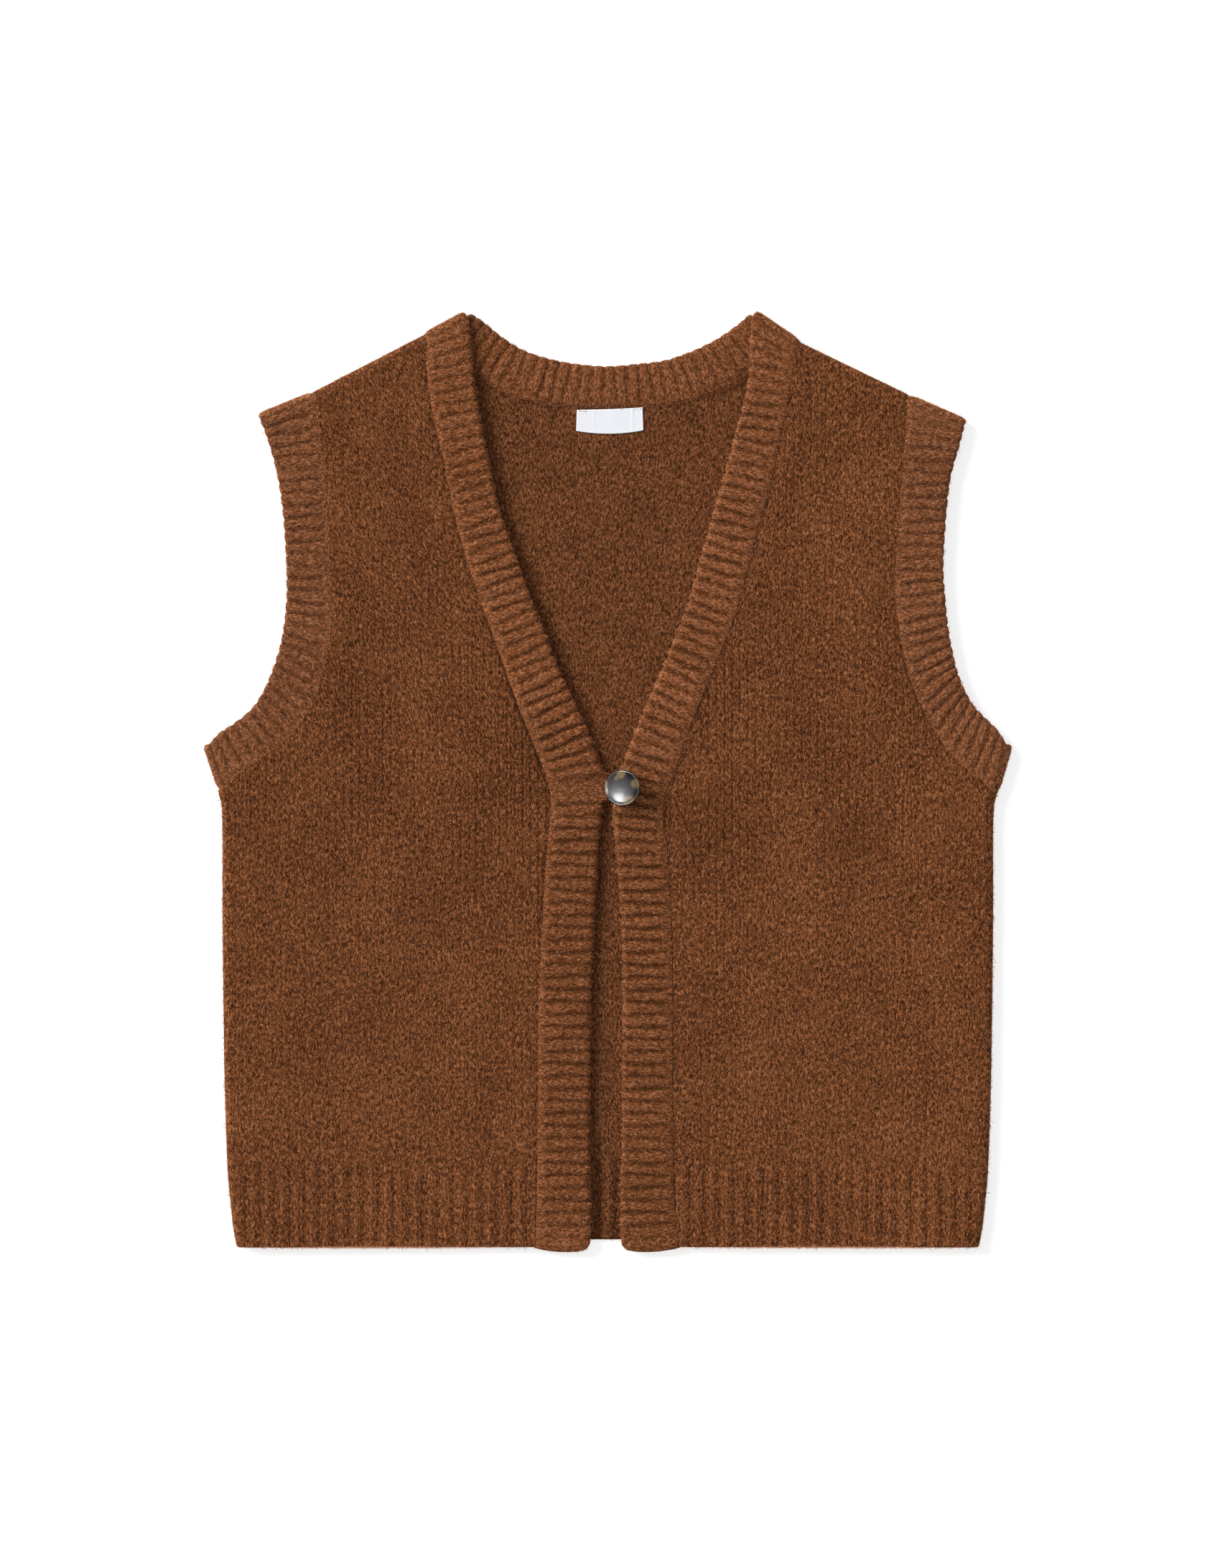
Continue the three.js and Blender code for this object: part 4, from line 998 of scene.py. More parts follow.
# One cross-section of a rib band, from its sewn edge to its rounded free edge. Its ribs wander
# a little.
def band_line(seam, edge, normal, wall, edge_wall, rib_place, rise, groove, length, profile, pale):
    across = edge - seam
    width = np.linalg.norm(across)
    share, reach, rib = profile.T
    wander = 0.07 * np.sin(5.5 * share + 2.3 * rib_place) + 0.04 * np.sin(13 * share - 4.1 * rib_place)
    crest = rib_shape(rib_place + wander * rib)
    scallop = np.clip((share - 0.85) / 0.15, 0, 1) * (crest - 0.5) * groove * 1.1 / width
    half = (wall * (1 - share) + edge_wall * share) / 2
    knob = band_felt.random(len(share)) - 0.5
    height = half * reach + rib * (crest * rise - (1 - crest) * groove)
    height = height + 0.0002 * knob * reach * (groove > 0)
    line = seam + across * (share + scallop)[:, None] + normal * height[:, None]
    # The grooves between ribs are coloured darker: painted shade.
    depth = rib * (1 - crest) * groove / groove_of_darkest_shade * (1 + 0.7 * knob)
    hollow = np.clip(depth - 0.2 * knob, 0, 1) * (groove > 0)
    return share, line, knit_places(length, share * width, hollow - pale)


def band_row(ends, normal, walls, rib_place, reliefs, length, profile=band_outer_profile, pale=0):
    outer_relief, inner_relief = reliefs
    inner_profile = back_neck_profile if inner_relief[0] > 0 else band_inner_profile
    return [
        band_line(*ends, normal, *walls, rib_place, *outer_relief, length, profile, pale),
        band_line(*ends, -normal, *walls, rib_place, *inner_relief, length, inner_profile, pale),
    ]


# Rows where a band folds over between its front half and its back half, one rib wide.
def fold_rows(section, front_z, back_z, wall, rise, turns, length):
    axis_z, radius = (front_z + back_z) / 2, (front_z - back_z) / 2
    outward = fold_outward(section)
    rows = []
    for turn in turns:
        angle = math.radians(turn)
        normal = np.array([*(outward * math.sin(angle)), math.cos(angle)])
        pairs = ([seam_x, seam_y], [edge_x, edge_y])
        ends = [np.array([*section[pair], axis_z]) + normal * radius for pair in pairs]
        raised = (min(rise, 0.0008) * abs(math.sin(angle)), 0.0002)
        along = length + radius * angle
        reliefs = (raised, (0, 0))
        rows.append(band_row(ends, normal, (wall, wall), turn / 180, reliefs, along, pale=0.15))
    return rows


# Ribs differ a little in height from one to the next.
def rib_strength(ribs, seed):
    random = np.random.default_rng(seed)
    strengths = random.uniform(0.75, 1.2, int(ribs.max()) + 3)
    return np.interp(ribs, np.arange(len(strengths)), strengths)


def neck_band_rows():
    rows = []
    walked = 0.0

    def strip(table, facing, seed, depths, paler, tab=False):
        nonlocal walked
        places, lengths, ribs = strip_places(table, neck_rib_pitch)
        strengths = rib_strength(ribs, seed)
        for place, length, strength, rib_place in zip(places, lengths, strengths, ribs):
            section = between(table, place)
            from_end = length if table is left_leg else lengths[-1] - length
            if table is back_neck:
                from_end = 1
            tab_share = math.exp(-(((section[edge_y] - button_y) / tab_half_height) ** 4)) if tab else 0
            middle_z = section[low_z] + neck_band_wall / 2
            seam = np.array([section[seam_x], section[seam_y], middle_z])
            edge = np.array([
                section[edge_x] + tab_reach * tab_share,
                section[edge_y],
                middle_z + section[edge_lift] - tab_thinning / 2 * tab_share,
            ])
            corner = end_corner * (1 - math.sqrt(1 - max(1 - from_end / end_corner, 0) ** 2))
            edge = edge - corner * (edge - seam) / np.linalg.norm(edge - seam)
            wall = wall_from_edge(from_end, neck_band_wall, 0.0026)
            near_end = min(max(from_end / plain_end, 0.1), 1)
            strength *= near_end * np.interp(section[seam_y], leg_heights, depths)
            plain = 1 - tab_share
            groove = back_rib_groove if facing < 0 else rib_groove
            raised = (neck_rib_rise * strength * plain, groove * strength * plain)
            flat_side = (0, 0.0005 * plain)
            normal = np.array([0, 0, facing])
            walls = (wall, wall - tab_thinning * tab_share)
            reliefs = (raised, (0, 0)) if facing > 0 else (flat_side, raised)
            pale = np.interp(section[seam_y], leg_heights, paler)
            row = band_row((seam, edge), normal, walls, rib_place, reliefs, walked + length, pale=pale)
            for _, line, across_rib in row:
                share = across_rib[:, 1] / across_rib[-1, 1]
                line[:, 1] -= end_bow * np.sin(np.pi * share) ** 0.7 * fall_off(from_end, 0.014)
            rows.append(row)
        walked += lengths[-1]

    front_z = left_leg[-1][low_z] + neck_band_wall / 2
    back_z = neck_band_wall / 2
    turns = list(range(15, 180, 15))
    strip(left_leg, 1, 51, left_depths, left_pale, tab=True)
    rows.extend(fold_rows(left_leg[-1], front_z, back_z, neck_band_wall, neck_rib_rise, turns, walked))
    walked += math.pi * (front_z - back_z) / 2
    # The back neck is coloured a little paler still: painted light.
    strip(back_neck, -1, 52, (1,) * len(leg_heights), (0.08,) * len(leg_heights))
    back_turns = turns[::-1]
    rows.extend(fold_rows(right_leg[0], front_z, back_z, neck_band_wall, neck_rib_rise, back_turns, walked))
    walked += math.pi * (front_z - back_z) / 2
    strip(right_leg, 1, 53, right_depths, right_pale)
    return rows


# The band's yarn and tufts are coloured a little paler than the body's: painted light on the raised ribs.
band_yarn = wool_yarn("brushed_wool_rib", tone_of(66, 39, 20), tone_of(107, 62, 35), tone_of(152, 99, 67))
band_fibre = wool_fibre("wool_fibre_rib", tone_of(80, 48, 26), tone_of(120, 71, 43), tone_of(166, 110, 73))
neck_shell = cloth_shell(neck_band_rows())
neck_band = cloth_piece("neck_band_rib", neck_shell, band_yarn, 5)
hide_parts("neck_band")

# The buttonhole is a slit between two ribs, pulled open a little by the thread stem. The
# button hides it.
buttonhole = np.array([
    (0.0084, -0.0036),
    (0.0130, -0.0040),
    (0.0215, -0.0046),
    (0.0218, -0.0041),
    (0.0160, -0.0022),
    (0.0115, -0.0007),
    (0.0084, -0.0009),
])
cutter_low, cutter_high = 0.0032, 0.0172


def cut_buttonhole(piece):
    count = len(buttonhole)
    low = np.column_stack([buttonhole, np.full(count, cutter_low)])
    high = np.column_stack([buttonhole, np.full(count, cutter_high)])
    points = np.concatenate([low, high]) + drawing_shift
    faces = []
    for here in range(count):
        there = (here + 1) % count
        faces += [(here, there, count + there), (here, count + there, count + here)]
    for corner in range(1, count - 1):
        faces += [(0, corner + 1, corner), (count, count + corner, count + corner + 1)]
    cutter = mesh_object("buttonhole_cutter", points, np.array(faces))
    cut = piece.modifiers.new("buttonhole", "BOOLEAN")
    cut.operation = "DIFFERENCE"
    cut.solver = "EXACT"
    cut.object = cutter
    depsgraph = bpy.context.evaluated_depsgraph_get()
    mesh = bpy.data.meshes.new_from_object(piece.evaluated_get(depsgraph))
    piece.modifiers.clear()
    piece.data = mesh
    bpy.data.objects.remove(cutter)


cut_buttonhole(neck_band)
neck_fuzz = fuzz_piece("neck_band_fuzz", neck_shell, 15000, 61, band_fibre, 0.0036, 0.2, 0.8)

# Armhole bands
# A narrower doubled rib round each armhole, linked to the front and back and folded flat at
# the shoulder tip and at the underarm, so that its front half lies over its back half.
armhole_wall = 0.004
armhole_rib_pitch = 0.0085
armhole_rib_rise = 0.0006
armhole_groove = 0.00065
# The ribs lie flatter at the underarm and towards the shoulder.
armhole_heights = (0.0, 0.02, 0.05, 0.12, 0.2, 0.27)
armhole_depths = (0.6, 0.9, 1.0, 1.0, 0.9, 0.75)
fold_height = 0.0092
# This band is nearly as high as the panel where it is linked on.
armhole_profile = band_outer_profile.copy()
armhole_profile[:4, 1] = 0.86, 0.9, 0.95, 0.98


def armhole_band_rows(sections, seed):
    rows = []
    back_z, front_z = armhole_wall / 2, fold_height - armhole_wall / 2
    places, lengths, ribs = strip_places(sections, armhole_rib_pitch)
    strengths = rib_strength(ribs, seed)
    half_round = math.pi * (front_z - back_z) / 2

    def half_band(z, facing, order, start):
        for index in order:
            section = between(sections, places[index])
            seam = np.array([section[seam_x], section[seam_y], z])
            edge = np.array([section[edge_x], section[edge_y], z])
            depth = strengths[index] * np.interp(section[seam_y], armhole_heights, armhole_depths)
            raised = (armhole_rib_rise * depth, armhole_groove * depth)
            outer_relief = raised if facing > 0 else (0, 0.0006)
            along = start + (lengths[index] if facing > 0 else lengths[-1] - lengths[index])
            normal = np.array([0, 0, facing])
            walls = (armhole_wall, armhole_wall)
            reliefs = (outer_relief, (0, 0))
            rows.append(band_row((seam, edge), normal, walls, ribs[index], reliefs, along, armhole_profile))

    turns = list(range(15, 180, 15))
    order = list(range(len(places)))
    half_band(front_z, 1, order, 0)
    tip_fold = fold_rows(sections[-1], front_z, back_z, armhole_wall, armhole_rib_rise, turns, lengths[-1])
    rows.extend(tip_fold)
    half_band(back_z, -1, order[::-1], lengths[-1] + half_round)
    start = 2 * lengths[-1] + half_round
    rows.extend(fold_rows(sections[0], front_z, back_z, armhole_wall, armhole_rib_rise, turns[::-1], start))
    return rows


# The armhole yarn and tufts are coloured paler than the body's: painted light on the raised ribs.
armhole_yarn = wool_yarn(
    "brushed_wool_armhole", tone_of(70, 43, 25), tone_of(112, 67, 42), tone_of(155, 103, 70)
)
armhole_fibre = wool_fibre(
    "wool_fibre_armhole", tone_of(84, 52, 30), tone_of(124, 74, 47), tone_of(168, 114, 79)
)
for side, word in ((-1, "left"), (1, "right")):
    shell = cloth_shell(armhole_band_rows(armhole_of(side), 70 + side), closed=True)
    band = cloth_piece(f"armhole_rib_{word}", shell, armhole_yarn, 7 + side)
    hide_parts(f"armhole_band_{word}")
    fuzz = fuzz_piece(f"armhole_fuzz_{word}", shell, 6500, 80 + side, armhole_fibre, 0.0036, 0.2, 0.8)

# Linking yarn
# The bands are linked stitch by stitch to the panels with the same yarn. It lies in the
# seams, flush with the cloth, and closes them. Its colour is darkened there, painted shade
# of the seams.
linking_radius = 0.0006
link_sides = 6
link_steps = 24


# A round thread through a line of points, closed at both ends.
def thread_tube(line, radius, sides=8):
    line = np.asarray(line, float)
    ahead = np.gradient(line, axis=0)
    ahead /= np.linalg.norm(ahead, axis=1)[:, None]
    helper = np.where(np.abs(ahead[:, 2:]) > 0.8, (1.0, 0, 0), (0, 0, 1.0))
    across = np.cross(ahead, helper)
    across /= np.linalg.norm(across, axis=1)[:, None]
    above = np.cross(across, ahead)
    turns = np.arange(sides) * 2 * math.pi / sides
    ring = across[:, None] * np.cos(turns)[:, None] + above[:, None] * np.sin(turns)[:, None]
    points = np.concatenate([(line[:, None] + radius * ring).reshape(-1, 3), line[:1], line[-1:]])
    faces = []
    for row in range(len(line) - 1):
        for side in range(sides):
            a, b = row * sides + side, row * sides + (side + 1) % sides
            faces += [(a, a + sides, b), (b, a + sides, b + sides)]
    first, last, top = len(points) - 2, len(points) - 1, (len(line) - 1) * sides
    for side in range(sides):
        after = (side + 1) % sides
        faces += [(first, side, after), (last, top + after, top + side)]
    return points, np.array(faces)


# Several closed meshes as one.
def joined(parts):
    points, faces, count = [], [], 0
    for part_points, part_faces in parts:
        points.append(part_points)
        faces.append(part_faces + count)
        count += len(part_points)
    return np.concatenate(points), np.concatenate(faces)


def linking_line(sections, height_of, facing_in=seam_gap / 2):
    line = []
    for place in np.linspace(0, len(sections) - 1, link_steps * (len(sections) - 1)):
        section = between(sections, place)
        line.append((*beside_band(section, facing_in), height_of(section)))
    return np.array(line) + drawing_shift


def linked_height(section):
    return section[low_z] + 0.0031


# Over a fold the linking goes from the front seam round to the back seam.
def linking_arc(section, top_z, bottom_z):
    spot, outward = beside_band(section, seam_gap / 2), fold_outward(section)
    reach = (top_z - bottom_z) / 2
    turns = [math.pi * step / 12 for step in range(13)]
    line = []
    for turn in turns:
        line.append((*(spot + outward * reach * math.sin(turn)), bottom_z + reach * (1 + math.cos(turn))))
    return np.array(line) + drawing_shift


armhole_top, under_seam = fold_height - 0.0006, 0.0006
# Each line with how much darker its yarn is coloured: painted shade in the seam, strongest beside the right
# front.
linking_lines = [
    (linking_arc(left_leg[-1], linked_height(left_leg[-1]), under_seam), 0.1),
    (linking_arc(right_leg[0], linked_height(right_leg[0]), under_seam), 0.1),
    (linking_line(left_leg, linked_height), 0.2),
    (linking_line(right_leg, linked_height), 1.6),
    (linking_line(back_neck, lambda section: 0.0024), 0.1),
]
for armhole in (armhole_left, armhole_right):
    linking_lines.append((linking_line(armhole, lambda section: armhole_top), 0.1))
    linking_lines.append((linking_line(armhole, lambda section: under_seam), 0.3))
    linking_lines.append((linking_arc(armhole[0], armhole_top, under_seam), 0.1))
    linking_lines.append((linking_arc(armhole[-1], armhole_top, under_seam), 0.1))
link_tubes = [thread_tube(line, linking_radius, link_sides) for line, _ in linking_lines]
link_points, link_faces = joined(link_tubes)
link_shades = [np.full(len(tube[0]), depth) for tube, (_, depth) in zip(link_tubes, linking_lines)]
links = mesh_object("linking_yarn", link_points, link_faces)
link_places = links.data.attributes.new("knit", "FLOAT_VECTOR", "POINT")
link_places.data.foreach_set("vector", link_points.astype(np.float32).ravel())
link_hollow = links.data.attributes.new("hollow", "FLOAT", "POINT")
link_hollow.data.foreach_set("value", np.concatenate(link_shades).astype(np.float32))
links.data.materials.append(band_yarn)
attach(links, "root")

# Sewing thread stem
# Brown button thread, sewn through the left band and wound to a short stem that stands
# through the buttonhole up to the button's back.
stem_low, stem_high = (Vector(corner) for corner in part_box("button_thread"))
stem_radius = (stem_high.x - stem_low.x) / 2
stem_strands = 5
stem_turns = 1.6


def stem_strand(start):
    strand_radius = stem_radius * 0.42
    line = []
    for step in range(25):
        turn = start + stem_turns * 2 * math.pi * step / 24
        reach = stem_radius - strand_radius
        line.append((
            (stem_low.x + stem_high.x) / 2 + reach * math.cos(turn),
            (stem_low.y + stem_high.y) / 2 + reach * math.sin(turn),
            stem_low.z + (stem_high.z - stem_low.z) * step / 24,
        ))
    return thread_tube(line, strand_radius)


button_thread_material = bpy.data.materials.new("button_thread_brown")
button_thread_material.use_nodes = True
thread_tree = button_thread_material.node_tree
thread_shader = thread_tree.nodes["Principled BSDF"]
thread_place = add_node(thread_tree, "ShaderNodeTexCoord").outputs["Object"]
thread_ply = noise_on(thread_tree, thread_place, (1, 1, 0.3), 3200, 2, 0.5, 0.6)
thread_stops = [(0.35, tone_of(52, 28, 14)), (0.65, tone_of(96, 58, 34))]
thread_tree.links.new(ramp_on(thread_tree, thread_ply, thread_stops), thread_shader.inputs["Base Color"])
thread_shader.inputs["Roughness"].default_value = 0.6
thread_bump = add_node(thread_tree, "ShaderNodeBump", Height=thread_ply, Strength=0.6, Distance=0.0002)
thread_tree.links.new(thread_bump.outputs[0], thread_shader.inputs["Normal"])
strands = [stem_strand(2 * math.pi * index / stem_strands) for index in range(stem_strands)]
stem = mesh_object("button_thread_stem", *joined(strands))
stem.data.materials.append(button_thread_material)
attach(stem, "root")
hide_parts("button_thread")

# Button
# Turned and polished horn-look resin, 25 mm across: a low dome with a rounded rim and a small
# boss at the back. The thread goes through the boss, and the button sits a little askew.
button_middle = np.array([0.0104, -0.0036, 0.0147]) + drawing_shift
button_tilt = math.radians(-12)
button_radius = 0.0124
# The outline from the middle of the back to the middle of the face: radius, height.
button_outline = np.array([
    (0, -0.0010),
    (0.0028, -0.0010),
    (0.0032, 0),
    (0.0065, 0.0001),
    (0.0096, 0.0002),
    (0.0110, 0.0006),
    (0.0119, 0.0011),
    (0.0124, 0.0020),
    (0.0123, 0.0027),
    (0.0120, 0.0031),
    (0.0117, 0.0032),
    (0.0114, 0.00315),
    (0.0110, 0.0033),
    (0.0100, 0.0038),
    (0.0080, 0.0043),
    (0.0055, 0.0047),
    (0.0030, 0.00495),
    (0, 0.0051),
])


def turned_button():
    sides, steps = 96, 5
    places = np.linspace(0, len(button_outline) - 1, (len(button_outline) - 1) * steps + 1)[1:-1]
    outline = np.array([between(button_outline, place) for place in places])
    turns = np.arange(sides) * 2 * math.pi / sides
    points = np.stack([
        outline[:, :1] * np.cos(turns),
        outline[:, :1] * np.sin(turns),
        np.repeat(outline[:, 1:], sides, axis=1),
    ], axis=2).reshape(-1, 3)
    points = np.concatenate([points, [(0, 0, button_outline[0][1]), (0, 0, button_outline[-1][1])]])
    faces = []
    for row in range(len(outline) - 1):
        for side in range(sides):
            a, b = row * sides + side, row * sides + (side + 1) % sides
            faces += [(a, b, a + sides), (b, b + sides, a + sides)]
    first, last, top = len(points) - 2, len(points) - 1, (len(outline) - 1) * sides
    for side in range(sides):
        after = (side + 1) % sides
        faces += [(first, after, side), (last, top + side, top + after)]
    return points, np.array(faces)


# Horn patches: middle across and up in button radii, half width, half height, turn, colour.
horn_patches = [
    (-0.08, 0.10, 0.60, 0.48, 0.3, tone_of(54, 54, 55)),
    (-0.02, 0.76, 0.28, 0.30, -0.2, tone_of(110, 90, 57)),
    (-0.24, 0.58, 0.22, 0.19, 0.5, tone_of(100, 82, 57)),
    (0.50, 0.68, 0.26, 0.30, 0.7, tone_of(26, 21, 23)),
    (0.80, 0.22, 0.34, 0.32, -0.3, tone_of(110, 92, 60)),
    (0.78, -0.30, 0.24, 0.20, 0.4, tone_of(30, 26, 30)),
    (0.42, -0.70, 0.36, 0.28, 0.6, tone_of(118, 100, 72)),
    (-0.92, 0.05, 0.15, 0.52, 0.05, tone_of(120, 104, 94)),
    (-0.66, -0.58, 0.22, 0.32, 0.6, tone_of(40, 38, 44)),
]


def horn_material():
    horn = bpy.data.materials.new("polished_horn")
    horn.use_nodes = True
    tree = horn.node_tree
    shader = tree.nodes["Principled BSDF"]
    spot = add_node(tree, "ShaderNodeAttribute", {"attribute_name": "spot"}).outputs["Vector"]
    waver = add_node(tree, "ShaderNodeTexNoise", Vector=spot, Scale=3.2, Detail=3.0, Roughness=0.6)

    def vector_math(operation, first, **second):
        settings = {"operation": operation}
        return add_node(tree, "ShaderNodeVectorMath", settings, i0=first, **second).outputs[0]

    centred = vector_math("SUBTRACT", waver.outputs["Color"], i1=(0.5, 0.5, 0.5))
    place = vector_math("ADD", spot, i1=vector_math("SCALE", centred, Scale=0.3))
    streak = noise_on(tree, spot, (5, 1.2, 1), 4, 4, 0.6, 0.15)
    streak_stops = [(0.3, tone_of(36, 32, 33)), (0.55, tone_of(46, 42, 43)), (0.75, tone_of(58, 53, 53))]
    colour = ramp_on(tree, streak, streak_stops)
    for across, up, half_width, half_height, turn, patch in horn_patches:
        # Measures how far a point is from the patch's middle, in half sizes of the patch.
        mapping = add_node(
            tree, "ShaderNodeMapping", {"vector_type": "TEXTURE"},
            Vector=place, Location=(across, up, 0), Rotation=(0, 0, turn),
            Scale=(half_width, half_height, 4),
        )
        far = add_node(tree, "ShaderNodeVectorMath", {"operation": "LENGTH"}, i0=mapping.outputs[0])
        cover = ramp_on(tree, far.outputs["Value"], [(0.6, (1, 1, 1, 1)), (1.0, (0, 0, 0, 1))])
        mixed = add_node(tree, "ShaderNodeMix", {"data_type": "RGBA"}, Factor=cover)
        tree.links.new(colour, mixed.inputs[6])
        mixed.inputs[7].default_value = patch
        colour = mixed.outputs[2]
    tree.links.new(colour, shader.inputs["Base Color"])
    shader.inputs["Roughness"].default_value = 0.42
    shader.inputs["Specular IOR Level"].default_value = 0.9
    shader.inputs["Coat Weight"].default_value = 1.0
    shader.inputs["Coat Roughness"].default_value = 0.21
    scratches = noise_on(tree, spot, (14, 1, 1), 6, 3, 0.6, 0.3)
    bump = add_node(tree, "ShaderNodeBump", Height=scratches, Strength=0.025, Distance=0.0003)
    tree.links.new(bump.outputs[0], shader.inputs["Normal"])
    return horn


button_points, button_faces = turned_button()
cosine, sine = math.cos(button_tilt), math.sin(button_tilt)
tilted = button_points @ np.array([(cosine, 0, -sine), (0, 1, 0), (sine, 0, cosine)])
button = mesh_object("horn_button", tilted + button_middle, button_faces)
spot = button.data.attributes.new("spot", "FLOAT_VECTOR", "POINT")
spot.data.foreach_set("vector", (button_points / button_radius).astype(np.float32).ravel())
button.data.materials.append(horn_material())
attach(button, "root")
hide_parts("button")

# Neck label
# A small white woven ribbon inside the back neck, held at its upper corners by a few hidden
# stitches. It hangs a little lower in the middle. It is left bare.
# The lower and upper corner at each side, and the points that pull the long edges between them.
label_left_edge = np.array([(-0.0220, 0.2450), (-0.0215, 0.2597)])
label_right_edge = np.array([(0.0248, 0.2454), (0.0243, 0.2614)])
label_bottom_pull, label_top_pull = (0.0015, 0.2408), (0.0015, 0.2598)
label_low_z, label_thickness = 0.0033, 0.0005
# Soft creases up the label: place across, half width, rise.
label_creases = ((0.26, 0.012, 0.00010), (0.84, 0.016, 0.00016), (0.55, 0.12, 0.00012))


def quad_curve(start, pull, end, share):
    start, pull, end = (np.array(point) for point in (start, pull, end))
    return start * (1 - share) ** 2 + 2 * pull * share * (1 - share) + end * share ** 2


def label_place(across, up):
    low = quad_curve(label_left_edge[0], label_bottom_pull, label_right_edge[0], across)
    high = quad_curve(label_left_edge[1], label_top_pull, label_right_edge[1], across)
    return low * (1 - up) + high * up


def label_rows():
    rows = []
    across_places = np.concatenate([[0, 0.004, 0.01], np.linspace(0.02, 0.98, 90), [0.99, 0.996, 1]])
    up_places = np.concatenate([[0, 0.01, 0.03], np.linspace(0.06, 0.94, 22), [0.97, 0.99, 1]])
    for up in up_places:
        line = np.array([label_place(across, up) for across in across_places])
        border = np.minimum(np.minimum(across_places, 1 - across_places) * 2.9, min(up, 1 - up))
        wave = 0
        for at, width, rise in label_creases:
            wave = wave + rise * np.exp(-(((across_places - at) / width) ** 2))
        edge = 0.00012 * np.exp(-(((border - 0.03) / 0.03) ** 2))
        thick = label_thickness * (0.55 + 0.45 * np.clip(border / 0.02, 0, 1))
        top = label_low_z + thick + edge + wave * (0.4 + 0.6 * up)
        keys = np.arange(len(across_places))
        places = knit_places(across_places, up, np.clip(1 - border / 0.05, 0, 1))
        rows.append([
            (keys, np.column_stack([line, top]), places),
            (keys, np.column_stack([line, np.full(len(top), label_low_z)]), places),
        ])
    return rows


def ribbon_material():
    ribbon = bpy.data.materials.new("woven_ribbon")
    ribbon.use_nodes = True
    tree = ribbon.node_tree
    shader = tree.nodes["Principled BSDF"]
    place = add_node(tree, "ShaderNodeTexCoord").outputs["Object"]
    waves = []
    for direction, threads in (("X", 1500), ("Y", 1100)):
        waves.append(add_node(
            tree, "ShaderNodeTexWave", {"bands_direction": direction},
            Vector=place, Scale=threads / 6.283, Distortion=0.6, Detail=1.0,
        ).outputs["Fac"])
    weave = weigh(tree, [(waves[0], 0.5), (waves[1], 0.5)])
    border = add_node(tree, "ShaderNodeAttribute", {"attribute_name": "hollow"}).outputs["Fac"]
    shade = weigh(tree, [(weave, 0.35), (border, 0.65)])
    stops = [(0.05, tone_of(210, 212, 218)), (0.35, tone_of(216, 218, 223)), (0.8, tone_of(236, 236, 238))]
    tree.links.new(ramp_on(tree, shade, stops), shader.inputs["Base Color"])
    bump = add_node(tree, "ShaderNodeBump", Height=weave, Strength=0.35, Distance=0.0001)
    tree.links.new(bump.outputs[0], shader.inputs["Normal"])
    shader.inputs["Roughness"].default_value = 0.55
    shader.inputs["Sheen Weight"].default_value = 0.1
    return ribbon


label = cloth_piece("woven_neck_label", cloth_shell(label_rows()), ribbon_material(), 12)
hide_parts("neck_label")

# Small stitches of body-coloured thread along the top edge at both corners: across, up, turn.
label_stitch_places = [
    (0.035, 0.965, 0.5),
    (0.065, 0.93, -0.4),
    (0.105, 0.955, 0.2),
    (0.135, 0.94, 0.9),
    (0.87, 0.955, 0.1),
    (0.915, 0.965, -0.3),
    (0.965, 0.95, 0.4),
]
half_stitch = 0.0006
label_stitches = []
for across, up, turn in label_stitch_places:
    middle = np.array([*label_place(across, up), label_low_z + label_thickness + 0.0001]) + drawing_shift
    way = np.array([math.cos(turn), math.sin(turn), 0])
    steps = np.linspace(-1, 1, 7)
    arch = [middle + way * half_stitch * step + (0, 0, 0.0001 - 0.0003 * step ** 2) for step in steps]
    label_stitches.append(thread_tube(arch, 0.00014, 6))
stitches = mesh_object("label_corner_stitches", *joined(label_stitches))
stitches.data.materials.append(button_thread_material)
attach(stitches, "root")

# Floor, light and camera
# The vest lies on a pale studio table under a large soft light from the upper left, seen
# from straight above.
floor_half = 4
floor_corners = np.array([(-1, -1, 0), (1, -1, 0), (1, 1, 0), (-1, 1, 0)]) * floor_half
floor = mesh_object("studio_floor", floor_corners, np.array([(0, 1, 2), (0, 2, 3)]))
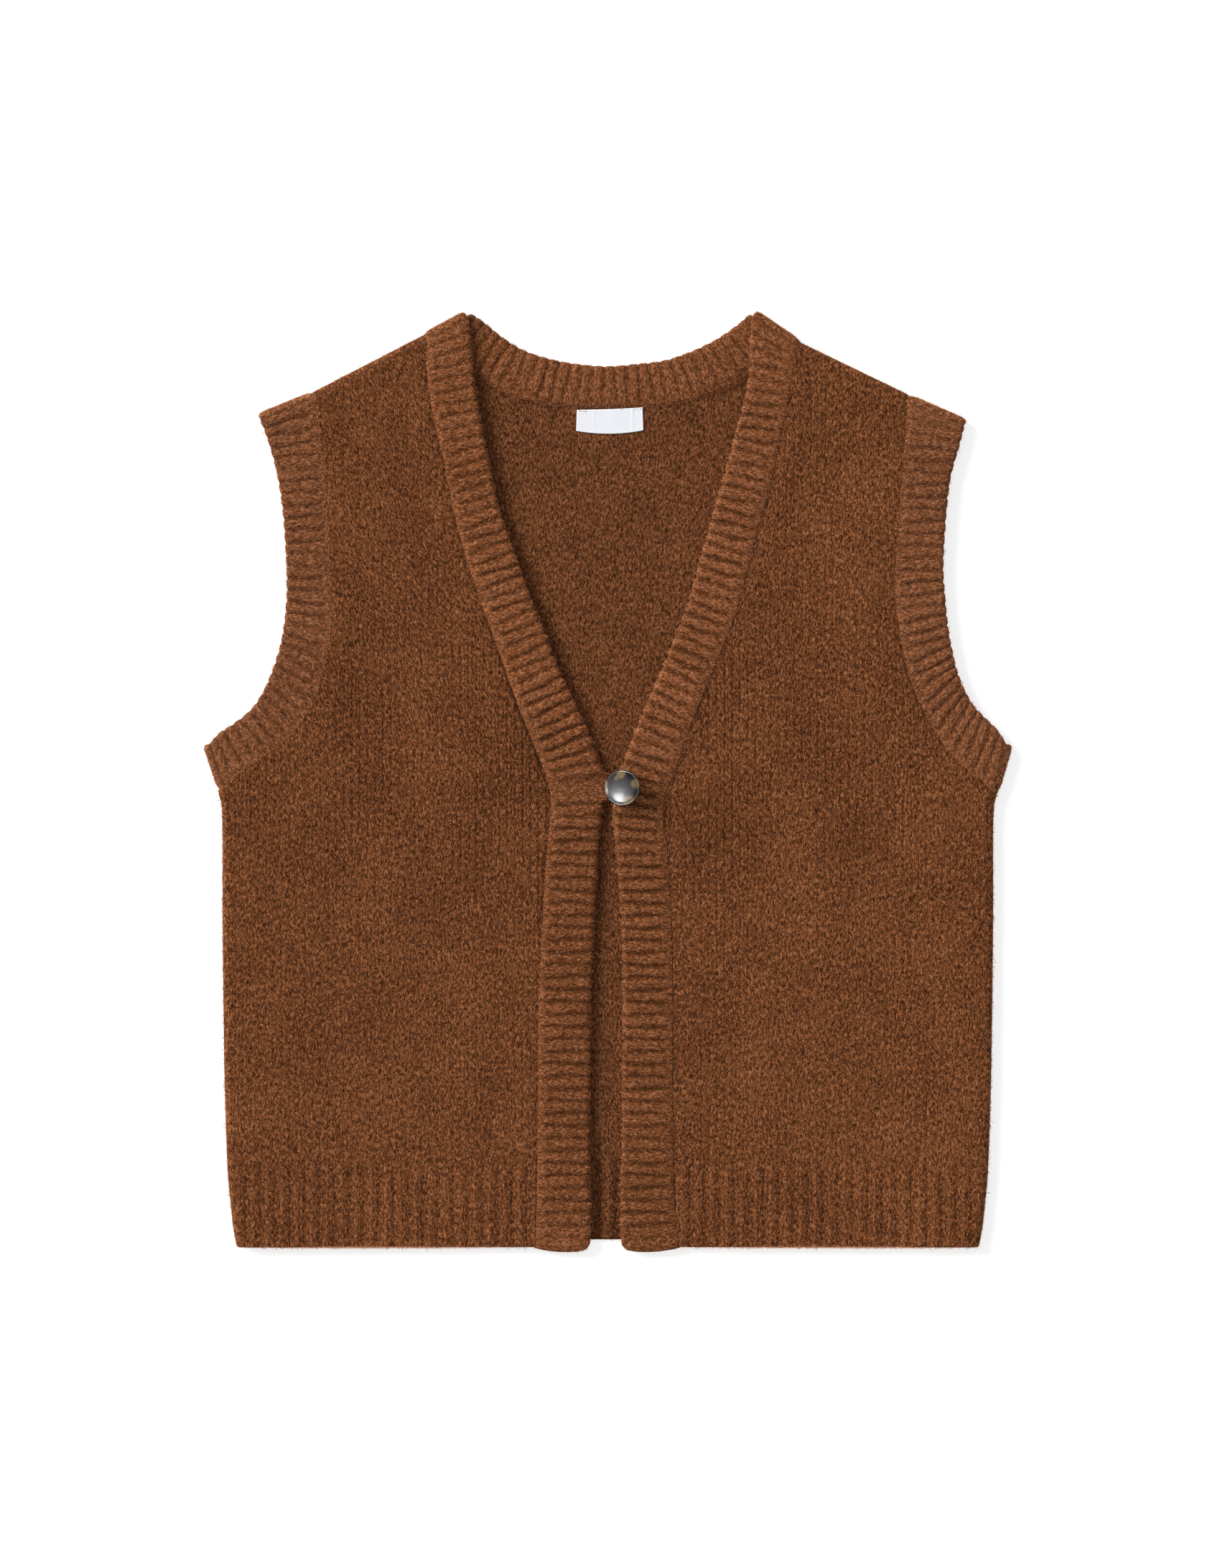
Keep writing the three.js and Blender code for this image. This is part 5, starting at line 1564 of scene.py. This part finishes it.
# The paper gives off a little light of its own, to be as white as the ground of a cut-out.
paper = bpy.data.materials.new("studio_paper")
paper.use_nodes = True
paper_shader = paper.node_tree.nodes["Principled BSDF"]
paper_shader.inputs["Base Color"].default_value = (0.38, 0.38, 0.38, 1)
paper_shader.inputs["Emission Color"].default_value = (1, 1, 1, 1)
paper_shader.inputs["Emission Strength"].default_value = 0.7
paper_shader.inputs["Roughness"].default_value = 0.9
paper_shader.inputs["Specular IOR Level"].default_value = 0.1
floor.data.materials.append(paper)


# A light aimed at the middle of the vest, with its upper edge level. Some light only the
# cloth, and some show only as a reflection on the button.
def aimed_light(name, kind, place, power, on_cloth=True, on_gloss=True):
    light = bpy.data.objects.new(name, bpy.data.lights.new(name, kind))
    light.data.energy = power
    light.visible_diffuse = on_cloth
    light.visible_glossy = on_gloss
    back = Vector(place).normalized()
    right = Vector((0, 1, 0)).cross(back).normalized()
    light.matrix_world = Matrix((right, back.cross(right), back)).transposed().to_4x4()
    light.location = place
    bpy.context.scene.collection.objects.link(light)
    return light.data


# A large light far off to the upper left, a soft box at the front left, whose reflection lies
# low on the button, and two small ones for the button's rim.
key_light = aimed_light("key_light", "SUN", (-5.0, 3.0, 3.1), 4.9, on_gloss=False)
key_light.angle = math.radians(28)
soft_box = aimed_light("soft_box", "AREA", (-1.75, -1.5, 3.0), 115, on_cloth=False)
soft_box.shape = "RECTANGLE"
soft_box.size, soft_box.size_y = 1.2, 1.6
left_edge_light = aimed_light("left_edge_light", "AREA", (-3.4, -0.5, 1.0), 26, on_cloth=False)
left_edge_light.size = 0.7
right_edge_light = aimed_light("right_edge_light", "AREA", (3.2, -2.2, 1.8), 16, on_cloth=False)
right_edge_light.size = 0.8
world = bpy.data.worlds.new("studio")
world.use_nodes = True
world.node_tree.nodes["Background"].inputs["Color"].default_value = (1, 1, 1, 1)
world.node_tree.nodes["Background"].inputs["Strength"].default_value = 0.57
bpy.context.scene.world = world
world.cycles_visibility.glossy = False
bpy.context.scene.view_settings.view_transform = "Standard"

# The height of the picture where it shows the cloth, and the spot at its middle.
frame_height = 1.092
picture_middle = (0.00144, -0.0007)
cloth_level = 0.005
camera_distance = 3.0
camera_data = bpy.data.cameras.new("camera")
camera_data.sensor_width = 36
camera_data.lens = 36 * camera_distance / frame_height
camera = bpy.data.objects.new("camera", camera_data)
camera.location = (*picture_middle, camera_distance + cloth_level)
bpy.context.scene.collection.objects.link(camera)
bpy.context.scene.camera = camera
